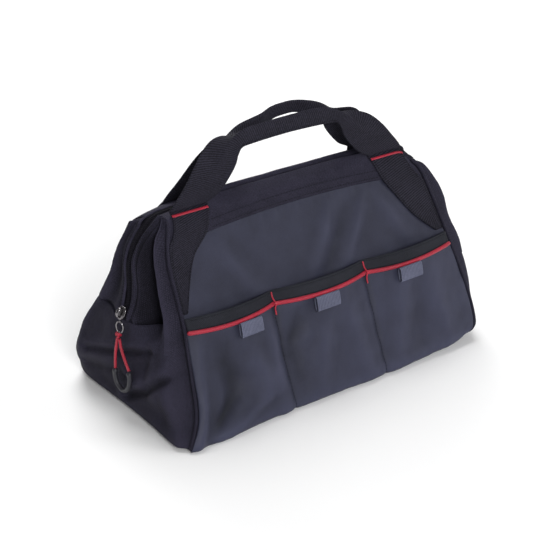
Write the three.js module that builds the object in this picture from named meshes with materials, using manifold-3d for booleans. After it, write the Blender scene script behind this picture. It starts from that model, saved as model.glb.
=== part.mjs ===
// A ridge-topped tool bag: two leaning cloth walls, soft ends, a zip over the ridge, two webbing
// handles, and three pockets with pen loops on the front.
// Millimetres, +Z up, +X along the ridge, front towards -Y, origin under the middle of the base.
import * as THREE from "three";
import { mergeVertices } from "three/addons/utils/BufferGeometryUtils.js";
import Module from "manifold-3d";

const wasm = await Module();
wasm.setup();

// Cloth thicknesses and the gap kept between neighbouring pieces.
const GAP = 0.3;
const PANEL_WALL = 2;
const END_WALL = 1.8;
const BAND_WALL = 1;
const BAND_GAP = 1.2;
const BAND_REACH = 0.7;
const STRAP_WALL = 1.8;
const STRAP_GAP = 1.2;
const POCKET_WALL = 1.6;
const BINDING_WALL = 2;

// The body.
const RIDGE_HEIGHT = 192.5;
const HEM_HEIGHT = 0.4;
const BASE_WALL = 2.2;
const BASE_INSET = 1.2;
const PANEL_PUFF = 3;
const SEAM_INSET = 3.8;
const SEAM_STEP = 1.2;
const SHELF_HEIGHT = 93;
const PIPING_RADIUS = 2;
const PIPING_STEPS = 16;
const PANEL_GRID = { columns: 12, rows: 12 };
const BASE_GRID = { columns: 8, rows: 2 };
const SLOPE_STEP = 0.5;
const SEAM_MARGIN = 2;
const PIPING_HEIGHTS = [3, 6, 14, 30, 60, 95, 130, 155, 172, 181];
const END_LOWER_HEIGHTS = [HEM_HEIGHT, 2, 6, 20, 42, 62, 80, 88, SHELF_HEIGHT];
const END_UPPER_HEIGHTS = [SHELF_HEIGHT + 2 * GAP, 101, 113, 130, 148, 163, 174, 181];

// The two faces: the way each one looks, how far its top edge drops at the ends, where its sewn legs
// and bar tacks are, and how its handle leans: a shift to the right and a sag, both all on the left
// leg and none on the right one.
const FACES = [
  { name: "front", side: -1, endDrop: 7, legTop: 188.5, tackHeight: 186.2, shift: 0, sag: 0 },
  { name: "rear", side: 1, endDrop: 17, legTop: 185, tackHeight: 182.6, shift: 17, sag: 5 },
];
const LEAN = { left: -60, right: 60, shiftLow: 130, shiftHigh: 192, sagLow: 185, sagHigh: 222 };

// The body's sections: half depth and half width at the side seams, and how far each soft end
// stands out past its seams, at the roll beside the seam and along the middle.
const BODY_ROWS = [
  { height: 0.4, depth: 91, width: 168, leftRoll: 1, leftMiddle: 1, rightRoll: 1, rightMiddle: 1 },
  { height: 2, depth: 96, width: 172, leftRoll: 6, leftMiddle: 6, rightRoll: 5, rightMiddle: 6 },
  { height: 6, depth: 98, width: 172.5, leftRoll: 9, leftMiddle: 10, rightRoll: 8, rightMiddle: 9 },
  { height: 20, depth: 91.5, width: 168, leftRoll: 15, leftMiddle: 16, rightRoll: 16, rightMiddle: 16 },
  { height: 42, depth: 81, width: 164.5, leftRoll: 23, leftMiddle: 22, rightRoll: 21, rightMiddle: 22 },
  { height: 62, depth: 72.5, width: 162, leftRoll: 19, leftMiddle: 24, rightRoll: 25, rightMiddle: 26 },
  { height: 80, depth: 64.5, width: 160, leftRoll: 16, leftMiddle: 25, rightRoll: 27, rightMiddle: 28 },
  { height: 95, depth: 58, width: 158, leftRoll: 14, leftMiddle: 24, rightRoll: 28, rightMiddle: 29 },
  { height: 110, depth: 51.5, width: 156.5, leftRoll: 12, leftMiddle: 18, rightRoll: 27, rightMiddle: 26 },
  { height: 127, depth: 44, width: 154.5, leftRoll: 10, leftMiddle: 16, rightRoll: 25, rightMiddle: 23 },
  { height: 146, depth: 36, width: 152.5, leftRoll: 9, leftMiddle: 15.5, rightRoll: 22, rightMiddle: 19 },
  { height: 162, depth: 29, width: 151, leftRoll: 8, leftMiddle: 12, rightRoll: 15, rightMiddle: 13 },
  { height: 174, depth: 23.5, width: 150, leftRoll: 6, leftMiddle: 7, rightRoll: 8, rightMiddle: 8 },
  { height: 182, depth: 19, width: 148.5, leftRoll: 3, leftMiddle: 1.5, rightRoll: 3, rightMiddle: 2 },
  { height: 187, depth: 14.6, width: 146.5, leftRoll: 1.2, leftMiddle: -3, rightRoll: 1.2, rightMiddle: -3 },
  { height: 192.5, depth: 4.6, width: 140, leftRoll: 0, leftMiddle: -9, rightRoll: 0, rightMiddle: -9 },
];

// How the standing bag has settled out of square: pushes that fade away from its lower front corners,
// and one along its left front seam that changes with the height.
const CORNER_PUSHES = [
  { place: [-172, -97, 0], push: [-5, -3, 0] },
  { place: [172, -97, 0], push: [-3.5, 2, 0] },
];
const CORNER_REACH = [44, 48, 18];
const SEAM_PUSH = [4, -4, 0];
const SEAM_REACH = 60;
const SEAM_PUSH_ROWS = [
  { height: 0, share: 0 },
  { height: 6, share: 0.12 },
  { height: 32, share: 0.95 },
  { height: 60, share: 1 },
  { height: 105, share: 1 },
  { height: 150, share: 0.35 },
  { height: 192, share: 0 },
];

// How deep the pleat beside the zip pulls an end in, on its front and rear half.
const PLEAT_ROWS = [
  { height: 0, front: 0, rear: 0 },
  { height: 45, front: 1, rear: 0 },
  { height: 84, front: 3, rear: 1 },
  { height: 94, front: 12, rear: 5 },
  { height: 130, front: 15, rear: 7 },
  { height: 160, front: 9, rear: 4 },
  { height: 187, front: 0, rear: 0 },
];

// Stations across half an end, from the zip to the seam, with the share of each form there.
const END_STATIONS = [
  { across: 0, roll: 0, middle: 1, pleat: 0 },
  { across: 0.14, roll: 0.06, middle: 0.94, pleat: 0.25 },
  { across: 0.34, roll: 0.3, middle: 0.7, pleat: 0.85 },
  { across: 0.52, roll: 0.55, middle: 0.45, pleat: 1 },
  { across: 0.7, roll: 0.87, middle: 0.13, pleat: 0.45 },
  { across: 0.83, roll: 1, middle: 0, pleat: 0 },
  { across: 0.94, roll: 0.78, middle: 0, pleat: 0 },
  { across: 1, roll: 0, middle: 0, pleat: 0 },
];

// How an upper end is backed: the turn of its inner face at the seam, where across the turn starts,
// and the half width under which the cloth gets thinner, down to its least share.
const END_BACKING = { turn: 0.9, from: 0.7, span: 14, least: 0.5 };

// The zip.
const ZIP_HALF_WIDTH = 8;
const ZIP_GAP = 1.3;
const CHAIN_HALF_WIDTH = 2.5;
const CHAIN_WALL = 2.2;
const TAPE_WALL = 1;
const CHAIN_CROWN = 1;
const ZIP_CLIMB_HEIGHTS = [95.4, 103, 112, 127, 146, 160, 170, 178, 184];
const ZIP_RIDGE_HEIGHT = 187;
const ZIP_RIDGE_PLACES = [-128, -64, 0, 64, 128];
const ZIP_STEPS = 38;

// The front pockets.
const POCKET_DIVISIONS = [-57, 53];
const POCKET_STEPS = 8;
const POCKET_ROWS = 6;
const POCKET_FOOT = 10;
const POCKET_BULGE = 12;
const POCKET_SWELL = 1.6;
const POCKET_PIPING_LOW = 92.3;
const POCKET_PIPING_RISE = 3.3;
const POCKET_PIPING_RADIUS = 2.2;
const POCKET_PIPING_PROUD = 0.9;
const POCKET_PIPING_STEPS = 36;
const BINDING_LOW = 105.3;
const BINDING_RISE = 1.6;
const BINDING_PROUD = 0.5;
const BINDING_ROWS = 2;
const TICK = { width: 2.2, wall: 1, low: 86, high: 105.5, hump: 3.6, humpLength: 3.2, rows: 10 };

// The pen loops: their places along the front, and their section.
const PEN_LOOP_PLACES = [-93, -4, 100];
const PEN_LOOP = { width: 28, height: 12.4, depth: 9.2, wall: 1.1, middle: 83, squareness: 0.6 };
const PEN_LOOP_GRID = { around: 12, rows: 4 };

// The band of woven cloth under the ridge, higher along the middle of its lower edge.
const TOP_BAND = { low: 169, rise: 4, columns: 10, rows: 3 };

// The sewn legs of a handle strap: their inner edges on the panel.
const LEG_ROWS = [
  { height: 110, left: 151, right: 147 },
  { height: 131, left: 140, right: 128 },
  { height: 154, left: 125, right: 112 },
  { height: 169, left: 106, right: 102 },
  { height: 190, left: 94, right: 94 },
];
const LEG_WIDTH = 41;
const LEG_FOOT = 111;
const LEG_STEPS = 7;

// The free half of a handle, from the ridge to the middle of the grip: the inner edge and the
// fold line of the webbing, how far it is folded, its distance from the bag's middle plane, and how
// much lower the fold line is on the right.
const HANDLE_ROWS = [
  { innerX: 92, innerZ: 193, foldX: 112, foldZ: 193.5, fold: 0, depth: 15.6, drop: 0 },
  { innerX: 82, innerZ: 199, foldX: 102.5, foldZ: 203, fold: 0, depth: 15.5, drop: 0 },
  { innerX: 71, innerZ: 210, foldX: 91, foldZ: 216, fold: 4, depth: 15, drop: 0.5 },
  { innerX: 63.5, innerZ: 220, foldX: 80.5, foldZ: 229, fold: 22, depth: 14.6, drop: 2 },
  { innerX: 60, innerZ: 229, foldX: 71, foldZ: 241, fold: 65, depth: 14.3, drop: 4.5 },
  { innerX: 55, innerZ: 235, foldX: 59, foldZ: 249.5, fold: 125, depth: 14, drop: 4.5 },
  { innerX: 43, innerZ: 236.5, foldX: 44, foldZ: 253, fold: 168, depth: 14, drop: 2 },
  { innerX: 22, innerZ: 237.5, foldX: 22, foldZ: 255, fold: 180, depth: 14, drop: 0.5 },
  { innerX: 0, innerZ: 238, foldX: 0, foldZ: 255.5, fold: 180, depth: 14, drop: 0 },
];
const HANDLE_STEPS = 13;
const FOLD_SPACING = 2 * (STRAP_WALL + GAP);
const FOLD_CURL = 0.68;
const FOLD_STATIONS = [-1, -0.5, -0.16, 0, 0.16, 0.5, 1];
const FOLD_TURN = 0.18;
const TACK = { height: 3.2, wall: 1.3, overhang: 1, columns: 4, rows: 2 };

// The slider, with the heights of the chain that it lies between.
const SLIDER = { length: 13, width: 10, tailWidth: 7.2, shoulder: 1.3, wall: 3 };
const SLIDER_PLACE = { height: 99, low: 95, high: 103 };
const BRIDGE = { width: 3.6, height: 4.2, length: 8.3, sink: 0.2 };
const BRIDGE_EYE = { radius: 1.5, place: -0.8, height: 2.2 };
const CURVE_SEGMENTS = 5;

// The corded pull: points where it hangs beside the left end.
const PULL_RING = { radius: 5, wire: 0.75, turn: 1.27, place: [-190, -7, 91] };
const PULL_KNOT = { radius: 3.3, place: [-190.6, -5.5, 82.8] };
const PULL_CORD_RADIUS = 1.3;
const PULL_CORD_STEPS = 8;
const PULL_GRIP_RADIUS = 2.5;
const PULL_GRIP_STEPS = 18;
const STRAND_POINTS = {
  pull_strand_rear: [[-190.8, -4, 79.2], [-191.6, -2.8, 70], [-191.8, -1.2, 58], [-191.6, -0.4, 47]],
  pull_strand_front: [[-190.8, -7, 79.2], [-191, -9.8, 70], [-190.8, -15, 60], [-190.4, -20, 51.5]],
};
const GRIP_POINTS = [
  [-191.6, -0.2, 46.4], [-191.8, 0, 40], [-191.6, -2.6, 32], [-190.6, -10, 27.4],
  [-190.6, -18, 32], [-190.6, -21.2, 42], [-190.4, -20.3, 50.9],
];

// Finishes.
const COATED_CLOTH = { color: 0x40424e, roughness: 0.55, metalness: 0 };
const WOVEN_CLOTH = { color: 0x28262e, roughness: 0.9, metalness: 0 };
const WEBBING = { color: 0x2a2930, roughness: 0.85, metalness: 0 };
const LOOP_WEBBING = { color: 0x50525f, roughness: 0.85, metalness: 0 };
const BINDING_TAPE = { color: 0x262a2e, roughness: 0.8, metalness: 0 };
const RED_TRIM = { color: 0xcd2d3c, roughness: 0.6, metalness: 0 };
const ZIP_CLOTH = { color: 0x232229, roughness: 0.85, metalness: 0 };
const DARK_METAL = { color: 0x6a6468, roughness: 0.3, metalness: 1 };
const GRIP_RUBBER = { color: 0x3a3b44, roughness: 0.6, metalness: 0 };

const bag = new THREE.Group();

function addPiece(name, geometry, finish) {
  const piece = new THREE.Mesh(settled(geometry), new THREE.MeshStandardMaterial(finish));
  piece.name = name;
  bag.add(piece);
}

// A column of a table at any height, on smooth curves through its rows.
function valueAt(rows, height, column) {
  const last = rows.length - 1;
  const next = rows.findIndex((row) => row.height >= height);
  const high = Math.max(1, next < 0 ? last : next);
  const low = high - 1;
  const before = rows[Math.max(low - 1, 0)];
  const after = rows[Math.min(high + 1, last)];
  const span = rows[high].height - rows[low].height;
  const t = THREE.MathUtils.clamp((height - rows[low].height) / span, 0, 1);
  const slopeIn = (rows[high][column] - before[column]) / (rows[high].height - before.height);
  const slopeOut = (after[column] - rows[low][column]) / (after.height - rows[low].height);
  const rise = rows[high][column] - rows[low][column];
  const bend = (1 - t) * (slopeIn * span - rise) - t * (slopeOut * span - rise);
  return rows[low][column] + rise * t + t * (1 - t) * bend;
}

// Samples a function of two shares into rows of points.
function gridOf(columns, rows, at) {
  return Array.from({ length: rows + 1 }, (_, j) =>
    Array.from({ length: columns + 1 }, (_, i) => at(i / columns, j / rows)),
  );
}

function normalAt(grid, j, i, closed) {
  const count = grid[j].length;
  const right = closed ? (i + 1) % count : Math.min(i + 1, count - 1);
  const left = closed ? (i + count - 1) % count : Math.max(i - 1, 0);
  const along = grid[j][right].clone().sub(grid[j][left]);
  const up = grid[Math.min(j + 1, grid.length - 1)][i].clone().sub(grid[Math.max(j - 1, 0)][i]);
  return along.cross(up).normalize();
}

function signedVolume(points, faces) {
  return faces.reduce((sum, [a, b, c]) => {
    return sum + points[a].dot(points[b].clone().cross(points[c]));
  }, 0);
}

// A closed shell between the two faces of a cloth wall, given as two grids of one size. A closed
// grid joins its last column to its first, and gives a hoop.
function shell(grid, backing, closed = false) {
  const rows = grid.length;
  const columns = grid[0].length;
  const points = [...grid.flat(), ...backing.flat()];
  const behind = rows * columns;
  const faces = [];
  const quad = (a, b, c, d) => faces.push([a, b, c], [a, c, d]);
  const spans = closed ? columns : columns - 1;
  for (let j = 0; j < rows - 1; j++) {
    for (let i = 0; i < spans; i++) {
      const a = j * columns + i;
      const b = j * columns + ((i + 1) % columns);
      quad(a, b, b + columns, a + columns);
      quad(behind + a + columns, behind + b + columns, behind + b, behind + a);
    }
  }
  const top = (rows - 1) * columns;
  for (let i = 0; i < spans; i++) {
    const next = (i + 1) % columns;
    quad(behind + i, behind + next, next, i);
    quad(top + i, top + next, behind + top + next, behind + top + i);
  }
  if (!closed) {
    for (let j = 0; j < rows - 1; j++) {
      const first = j * columns;
      const last = first + columns - 1;
      quad(first, first + columns, behind + first + columns, behind + first);
      quad(last + columns, last, behind + last, behind + last + columns);
    }
  }
  if (signedVolume(points, faces) < 0) faces.forEach((triangle) => triangle.reverse());
  const geometry = new THREE.BufferGeometry().setFromPoints(points);
  return geometry.setIndex(faces.flat());
}

// A cloth wall whose other face lies a thickness behind the grid, square to it.
function wall(grid, thickness, closed = false) {
  const backing = grid.map((row, j) =>
    row.map((point, i) => point.clone().addScaledVector(normalAt(grid, j, i, closed), -thickness)),
  );
  return shell(grid, backing, closed);
}

// A round cord along a smooth curve through its points.
function cord(points, radius, steps, sides = 8) {
  const outline = Array.from({ length: sides }, (_, k) => {
    const turn = (2 * Math.PI * k) / sides;
    return new THREE.Vector2(radius * Math.cos(turn), radius * Math.sin(turn));
  });
  const extrudePath = new THREE.CatmullRomCurve3(points, false, "centripetal");
  return new THREE.ExtrudeGeometry(new THREE.Shape(outline), { steps, extrudePath });
}

const vectors = (points) => points.map((point) => new THREE.Vector3(...point));

const bodyAt = (height, column) => valueAt(BODY_ROWS, height, column);

// A share that falls from 1 on a bell, with the distance from its middle measured in reaches.
const bell = (...steps) => Math.exp(-steps.reduce((sum, step) => sum + step * step, 0));

// Moves each point of a piece as the bag has settled there.
function settled(geometry) {
  const points = geometry.getAttribute("position");
  const moved = new THREE.Vector3();
  for (let k = 0; k < points.count; k++) {
    const point = new THREE.Vector3().fromBufferAttribute(points, k);
    moved.copy(point);
    for (const { place, push } of CORNER_PUSHES) {
      const steps = point.toArray().map((value, axis) => (value - place[axis]) / CORNER_REACH[axis]);
      moved.addScaledVector(new THREE.Vector3(...push), bell(...steps));
    }
    const offSeam = (point.x + bodyAt(point.z, "width")) / SEAM_REACH;
    const offFront = (point.y + bodyAt(point.z, "depth")) / SEAM_REACH;
    const share = valueAt(SEAM_PUSH_ROWS, point.z, "share") * bell(offSeam, offFront);
    moved.addScaledVector(new THREE.Vector3(...SEAM_PUSH), share);
    points.setXYZ(k, moved.x, moved.y, moved.z);
  }
  return geometry;
}

// The middle of a leaning wall swells a little past the straight line between its seams.
function panelDepth(x, height) {
  const across = x / bodyAt(height, "width");
  const swell = Math.max(0, 1 - across * across) * Math.sin((Math.PI * height) / RIDGE_HEIGHT);
  return bodyAt(height, "depth") + PANEL_PUFF * swell;
}

// A point a distance out from a leaning wall. side is -1 on the front and 1 on the rear.
function onPanel(side, x, height, out = 0) {
  const above = panelDepth(x, height + SLOPE_STEP);
  const below = panelDepth(x, height - SLOPE_STEP);
  const fall = (below - above) / (2 * SLOPE_STEP);
  const scale = out / Math.hypot(1, fall);
  return new THREE.Vector3(x, side * (panelDepth(x, height) + scale), height + fall * scale);
}

const ridgeTop = (face, across) => RIDGE_HEIGHT - face.endDrop * across ** 4;

const ease = (share) => 0.5 - 0.5 * Math.cos(Math.PI * share);

function makePanel(face) {
  const edge = PIPING_RADIUS + 2 * GAP;
  const grid = gridOf(PANEL_GRID.columns, PANEL_GRID.rows, (u, v) => {
    const across = 2 * u - 1;
    const height = THREE.MathUtils.lerp(HEM_HEIGHT, ridgeTop(face, across), ease(v));
    return onPanel(face.side, across * (bodyAt(height, "width") - edge), height);
  });
  return wall(grid, -face.side * PANEL_WALL);
}

// The heights of a list that end below the top of a face's side seam, and that top.
function seamHeights(face, heights) {
  const top = ridgeTop(face, 1) - 2 * GAP;
  return [...heights.filter((height) => height < top - SEAM_MARGIN), top];
}

function makeSeamPiping(face, end) {
  const inward = PANEL_WALL / 2;
  const points = seamHeights(face, PIPING_HEIGHTS).map((height) => {
    const depth = bodyAt(height, "depth") - inward;
    return new THREE.Vector3(end * bodyAt(height, "width"), face.side * depth, height);
  });
  return cord(points, PIPING_RADIUS, PIPING_STEPS);
}

function makeBase() {
  const halfWidth = bodyAt(HEM_HEIGHT, "width") - BASE_INSET;
  const halfDepth = bodyAt(HEM_HEIGHT, "depth") - BASE_INSET;
  const grid = gridOf(BASE_GRID.columns, BASE_GRID.rows, (u, v) => {
    return new THREE.Vector3((2 * u - 1) * halfWidth, (1 - 2 * v) * halfDepth, 0);
  });
  return wall(grid, BASE_WALL);
}

// The outer face of a soft end at a station across one half and a height.
function onEnd(end, half, station, height) {
  const name = end < 0 ? "left" : "right";
  const pleat = valueAt(PLEAT_ROWS, height, half < 0 ? "front" : "rear");
  const proud =
    SEAM_STEP * station.across +
    station.roll * bodyAt(height, name + "Roll") +
    station.middle * bodyAt(height, name + "Middle") -
    station.pleat * pleat;
  const zipEdge = ZIP_HALF_WIDTH + ZIP_GAP;
  const seam = bodyAt(height, "depth") - SEAM_INSET;
  const y = half * THREE.MathUtils.lerp(zipEdge, seam, station.across);
  return new THREE.Vector3(end * (bodyAt(height, "width") + proud), y, height);
}

function makeEndLower(end) {
  const grid = END_LOWER_HEIGHTS.map((height) => {
    const front = END_STATIONS.map((station) => onEnd(end, -1, station, height));
    const rear = END_STATIONS.map((station) => onEnd(end, 1, station, height));
    return [...front.reverse(), ...rear];
  });
  return wall(grid, end * END_WALL);
}

// The inner face of an upper end at a station and a height: straight inwards at the zip, so that the
// deep pleat stays open behind, turned towards the zip at the seam, and thinner near the ridge.
function behindEnd(end, half, station, height) {
  const span = bodyAt(height, "depth") - SEAM_INSET - ZIP_HALF_WIDTH - ZIP_GAP;
  const share = THREE.MathUtils.clamp(span / END_BACKING.span, END_BACKING.least, 1);
  const turn = END_BACKING.turn * THREE.MathUtils.smoothstep(station.across, END_BACKING.from, 1);
  const inward = new THREE.Vector3(-end * Math.cos(turn), -half * Math.sin(turn), 0);
  return onEnd(end, half, station, height).addScaledVector(inward, share * END_WALL);
}

function makeEndUpper(face, end) {
  const heights = seamHeights(face, END_UPPER_HEIGHTS);
  const [grid, backing] = [onEnd, behindEnd].map((at) =>
    heights.map((height) => END_STATIONS.map((station) => at(end, face.side, station, height))),
  );
  return shell(grid, backing);
}

// The middle and half width of the pocket that a place along the front lies in.
function pocketAt(x, height) {
  const outer = bodyAt(height, "width");
  const seams = [-outer, ...POCKET_DIVISIONS, outer];
  const k = 1 + POCKET_DIVISIONS.filter((division) => division < x).length;
  return { middle: (seams[k] + seams[k - 1]) / 2, half: (seams[k] - seams[k - 1]) / 2 };
}

// A place across its pocket, from -1 at one seam to 1 at the other.
function acrossPocket(x, height) {
  const pocket = pocketAt(x, height);
  return (x - pocket.middle) / pocket.half;
}

// A point a distance out from the pocket cloth, which stands off the front panel most at its mouth.
function onPocket(x, height, out = 0) {
  const across = acrossPocket(x, height);
  const rise = Math.max(0, (height - POCKET_FOOT) / (BINDING_LOW - POCKET_FOOT));
  const bulge = POCKET_BULGE * Math.max(0, 1 - across * across) * rise ** POCKET_SWELL;
  return onPanel(-1, x, height, GAP + POCKET_WALL + bulge + out);
}

function pipingHeight(x) {
  return POCKET_PIPING_LOW + POCKET_PIPING_RISE * acrossPocket(x, POCKET_PIPING_LOW) ** 2;
}

function bindingHeight(x) {
  return BINDING_LOW + BINDING_RISE * acrossPocket(x, BINDING_LOW) ** 2;
}

// Places along the pockets, with a row on each division and an even share between.
function pocketPlaces(height) {
  const outer = bodyAt(height, "width") - PIPING_RADIUS - 2 * GAP;
  const seams = [-outer, ...POCKET_DIVISIONS, outer];
  const places = POCKET_DIVISIONS.concat(outer).flatMap((to, pocket) =>
    Array.from({ length: POCKET_STEPS }, (_, k) => {
      return THREE.MathUtils.lerp(seams[pocket], to, k / POCKET_STEPS);
    }),
  );
  return [...places, outer];
}

function makePocketCloth(rows, low, high, proud, thickness) {
  const grid = Array.from({ length: rows + 1 }, (_, j) => {
    const share = j / rows;
    const level = THREE.MathUtils.lerp(low(0), high(0), share);
    return pocketPlaces(level).map((x) => {
      return onPocket(x, THREE.MathUtils.lerp(low(x), high(x), share), proud);
    });
  });
  return wall(grid, thickness);
}

function makeTick(x) {
  const ridge = pipingHeight(x);
  const flat = POCKET_WALL + BINDING_PROUD + TICK.wall + 3 * GAP;
  const grid = gridOf(1, TICK.rows, (u, v) => {
    const height = THREE.MathUtils.lerp(TICK.low, TICK.high, v);
    const away = (height - ridge) / TICK.humpLength;
    const hump = TICK.hump * Math.exp(-away * away);
    return onPanel(-1, x + (u - 0.5) * TICK.width, height, flat + hump);
  });
  return wall(grid, TICK.wall);
}

// A straight loop of webbing that clears the pocket cloth where it stands out most behind the loop.
function makePenLoop(place) {
  const { around, rows } = PEN_LOOP_GRID;
  const left = place - PEN_LOOP.width / 2;
  const right = place + PEN_LOOP.width / 2;
  const crest = THREE.MathUtils.clamp(pocketAt(place, PEN_LOOP.middle).middle, left, right);
  const power = (value) => Math.sign(value) * Math.abs(value) ** PEN_LOOP.squareness;
  const section = Array.from({ length: around }, (_, i) => {
    const turn = (2 * Math.PI * i) / around;
    const height = PEN_LOOP.middle + 0.5 * PEN_LOOP.height * power(Math.cos(turn));
    return onPocket(crest, height, 3 * GAP + 0.5 * PEN_LOOP.depth * (1 + power(Math.sin(turn))));
  });
  const grid = Array.from({ length: rows + 1 }, (_, j) => {
    const x = THREE.MathUtils.lerp(left, right, j / rows);
    return section.map((point) => new THREE.Vector3(x, point.y, point.z));
  });
  return wall(grid, PEN_LOOP.wall, true);
}

// The share of a handle's lean at a place along the bag.
const leanShare = (x) => 1 - THREE.MathUtils.smoothstep(x, LEAN.left, LEAN.right);

function shiftAt(face, x, height) {
  return face.shift * leanShare(x) * THREE.MathUtils.smoothstep(height, LEAN.shiftLow, LEAN.shiftHigh);
}

function sagAt(face, x, height) {
  return face.sag * leanShare(x) * THREE.MathUtils.smoothstep(height, LEAN.sagLow, LEAN.sagHigh);
}

// The distance of a sewn leg's inner edge from the middle, on the end that a signed place points to.
function legEdge(face, end, height) {
  const edge = valueAt(LEG_ROWS, height, end < 0 ? "left" : "right");
  const way = Math.sign(end);
  return edge + way * shiftAt(face, way * edge, height);
}

// A band of woven cloth between the two legs of a handle, under the ridge.
function makeTopBand(face) {
  const grid = gridOf(TOP_BAND.columns, TOP_BAND.rows, (u, v) => {
    const across = 2 * u - 1;
    const foot = TOP_BAND.low + TOP_BAND.rise * (1 - across * across);
    const height = THREE.MathUtils.lerp(foot, ridgeTop(face, BAND_REACH * across), v);
    const x = across * (legEdge(face, across, height) - BAND_GAP);
    return onPanel(face.side, x, height, BAND_GAP + BAND_WALL);
  });
  return wall(grid, -face.side * BAND_WALL);
}

// One row across a sewn leg: from its inner edge to its outer edge or the side seam.
function legRow(face, end, height) {
  const inner = legEdge(face, end, height);
  const seam = bodyAt(height, "width") - PIPING_RADIUS - 2 * GAP;
  const outer = Math.min(inner + LEG_WIDTH, seam);
  return FOLD_STATIONS.map((station) => {
    const x = THREE.MathUtils.lerp(inner, outer, (station + 1) / 2);
    return onPanel(face.side, end * x, height, STRAP_GAP + STRAP_WALL);
  });
}

// One row across the free webbing. Its inner half is flat, and its outer half turns back about
// the fold line until it lies behind the inner one.
function webbingRow(face, end, row) {
  const angle = THREE.MathUtils.degToRad(row.fold);
  const leaf = { x: row.foldX - row.innerX, z: row.foldZ - row.innerZ };
  const length = Math.hypot(leaf.x, leaf.z);
  return FOLD_STATIONS.map((station) => {
    const turn = station < 0 ? 1 : Math.cos(angle);
    const back = station < 0 ? 0 : station * length * FOLD_CURL * Math.sin(angle);
    const behind = THREE.MathUtils.smoothstep(station, -FOLD_TURN, FOLD_TURN);
    const spread = FOLD_SPACING * (angle / Math.PI) * behind;
    const x = end * (row.foldX + station * turn * leaf.x);
    const z = row.foldZ + station * turn * leaf.z;
    const y = face.side * (row.depth + STRAP_WALL / 2 - back - spread);
    return new THREE.Vector3(x + shiftAt(face, x, z), y, z - sagAt(face, x, z));
  });
}

// Rows of the free half evenly along its fold line, on smooth curves through the table.
function webbingRows(end) {
  const dropShare = end > 0 ? 1 : 0;
  const edgePoints = HANDLE_ROWS.map((row) => new THREE.Vector3(row.innerX, row.depth, row.innerZ));
  const foldPoints = HANDLE_ROWS.map((row) => {
    return new THREE.Vector3(row.foldX, row.fold, row.foldZ - dropShare * row.drop);
  });
  const inner = new THREE.CatmullRomCurve3(edgePoints);
  const crease = new THREE.CatmullRomCurve3(foldPoints);
  return Array.from({ length: HANDLE_STEPS + 1 }, (_, k) => {
    const from = inner.getPoint(k / HANDLE_STEPS);
    const to = crease.getPoint(k / HANDLE_STEPS);
    return { innerX: from.x, depth: from.y, innerZ: from.z, foldX: to.x, fold: to.y, foldZ: to.z };
  });
}

function makeHandle(face) {
  const halfOf = (end) => {
    const legs = Array.from({ length: LEG_STEPS + 1 }, (_, k) => {
      const share = Math.sin((0.5 * Math.PI * k) / LEG_STEPS);
      return legRow(face, end, THREE.MathUtils.lerp(LEG_FOOT, face.legTop, share));
    });
    return [...legs, ...webbingRows(end).map((row) => webbingRow(face, end, row))];
  };
  const grid = [...halfOf(-1), ...halfOf(1).reverse().slice(1)];
  return wall(grid, face.side * STRAP_WALL);
}

// A red bar tack across a leg, just under the ridge.
function makeTack(face, end) {
  const grid = gridOf(TACK.columns, TACK.rows, (u, v) => {
    const height = face.tackHeight + (v - 0.5) * TACK.height;
    const inner = legEdge(face, end, height);
    const x = THREE.MathUtils.lerp(inner - TACK.overhang, inner + LEG_WIDTH + TACK.overhang, u);
    return onPanel(face.side, end * x, height, STRAP_GAP + STRAP_WALL + GAP + TACK.wall);
  });
  return wall(grid, -face.side * end * TACK.wall);
}

// The middle line of the zip, from the shelf of the left end over the ridge to the right one.
function zipLine() {
  const climb = (end, column) =>
    ZIP_CLIMB_HEIGHTS.map((height) => {
      return new THREE.Vector3(end * (bodyAt(height, "width") + bodyAt(height, column)), 0, height);
    });
  const ridge = ZIP_RIDGE_PLACES.map((x) => new THREE.Vector3(x, 0, ZIP_RIDGE_HEIGHT));
  const points = [...climb(-1, "leftMiddle"), ...ridge, ...climb(1, "rightMiddle").reverse()];
  return new THREE.CatmullRomCurve3(points, false, "centripetal");
}

// A strip along the zip between two distances from its middle line, with its face crowned.
function makeZipStrip(from, to, columns, crown, thickness) {
  const line = zipLine().getSpacedPoints(ZIP_STEPS);
  const grid = line.map((point, k) => {
    const ahead = line[Math.min(k + 1, ZIP_STEPS)].clone().sub(line[Math.max(k - 1, 0)]).normalize();
    const outward = new THREE.Vector3(-ahead.z, 0, ahead.x);
    return Array.from({ length: columns + 1 }, (_, i) => {
      const y = THREE.MathUtils.lerp(from, to, i / columns);
      const lift = crown * (1 - (2 * i / columns - 1) ** 2);
      return point.clone().addScaledVector(outward, lift).setY(y);
    });
  });
  return wall(grid, -thickness);
}

function solidOf(geometry) {
  const bare = new THREE.BufferGeometry().setAttribute("position", geometry.getAttribute("position"));
  const merged = mergeVertices(bare.setIndex(geometry.index));
  const vertProperties = merged.getAttribute("position").array;
  const triVerts = new Uint32Array(merged.index.array);
  return new wasm.Manifold(new wasm.Mesh({ numProp: 3, vertProperties, triVerts }));
}

function joined(first, second) {
  const mesh = solidOf(first).add(solidOf(second)).getMesh();
  const geometry = new THREE.BufferGeometry();
  geometry.setAttribute("position", new THREE.BufferAttribute(mesh.vertProperties, 3));
  return geometry.setIndex(new THREE.BufferAttribute(mesh.triVerts, 1));
}

function extruded(shape, depth) {
  return new THREE.ExtrudeGeometry(shape, { depth, bevelEnabled: false, curveSegments: CURVE_SEGMENTS });
}

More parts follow.
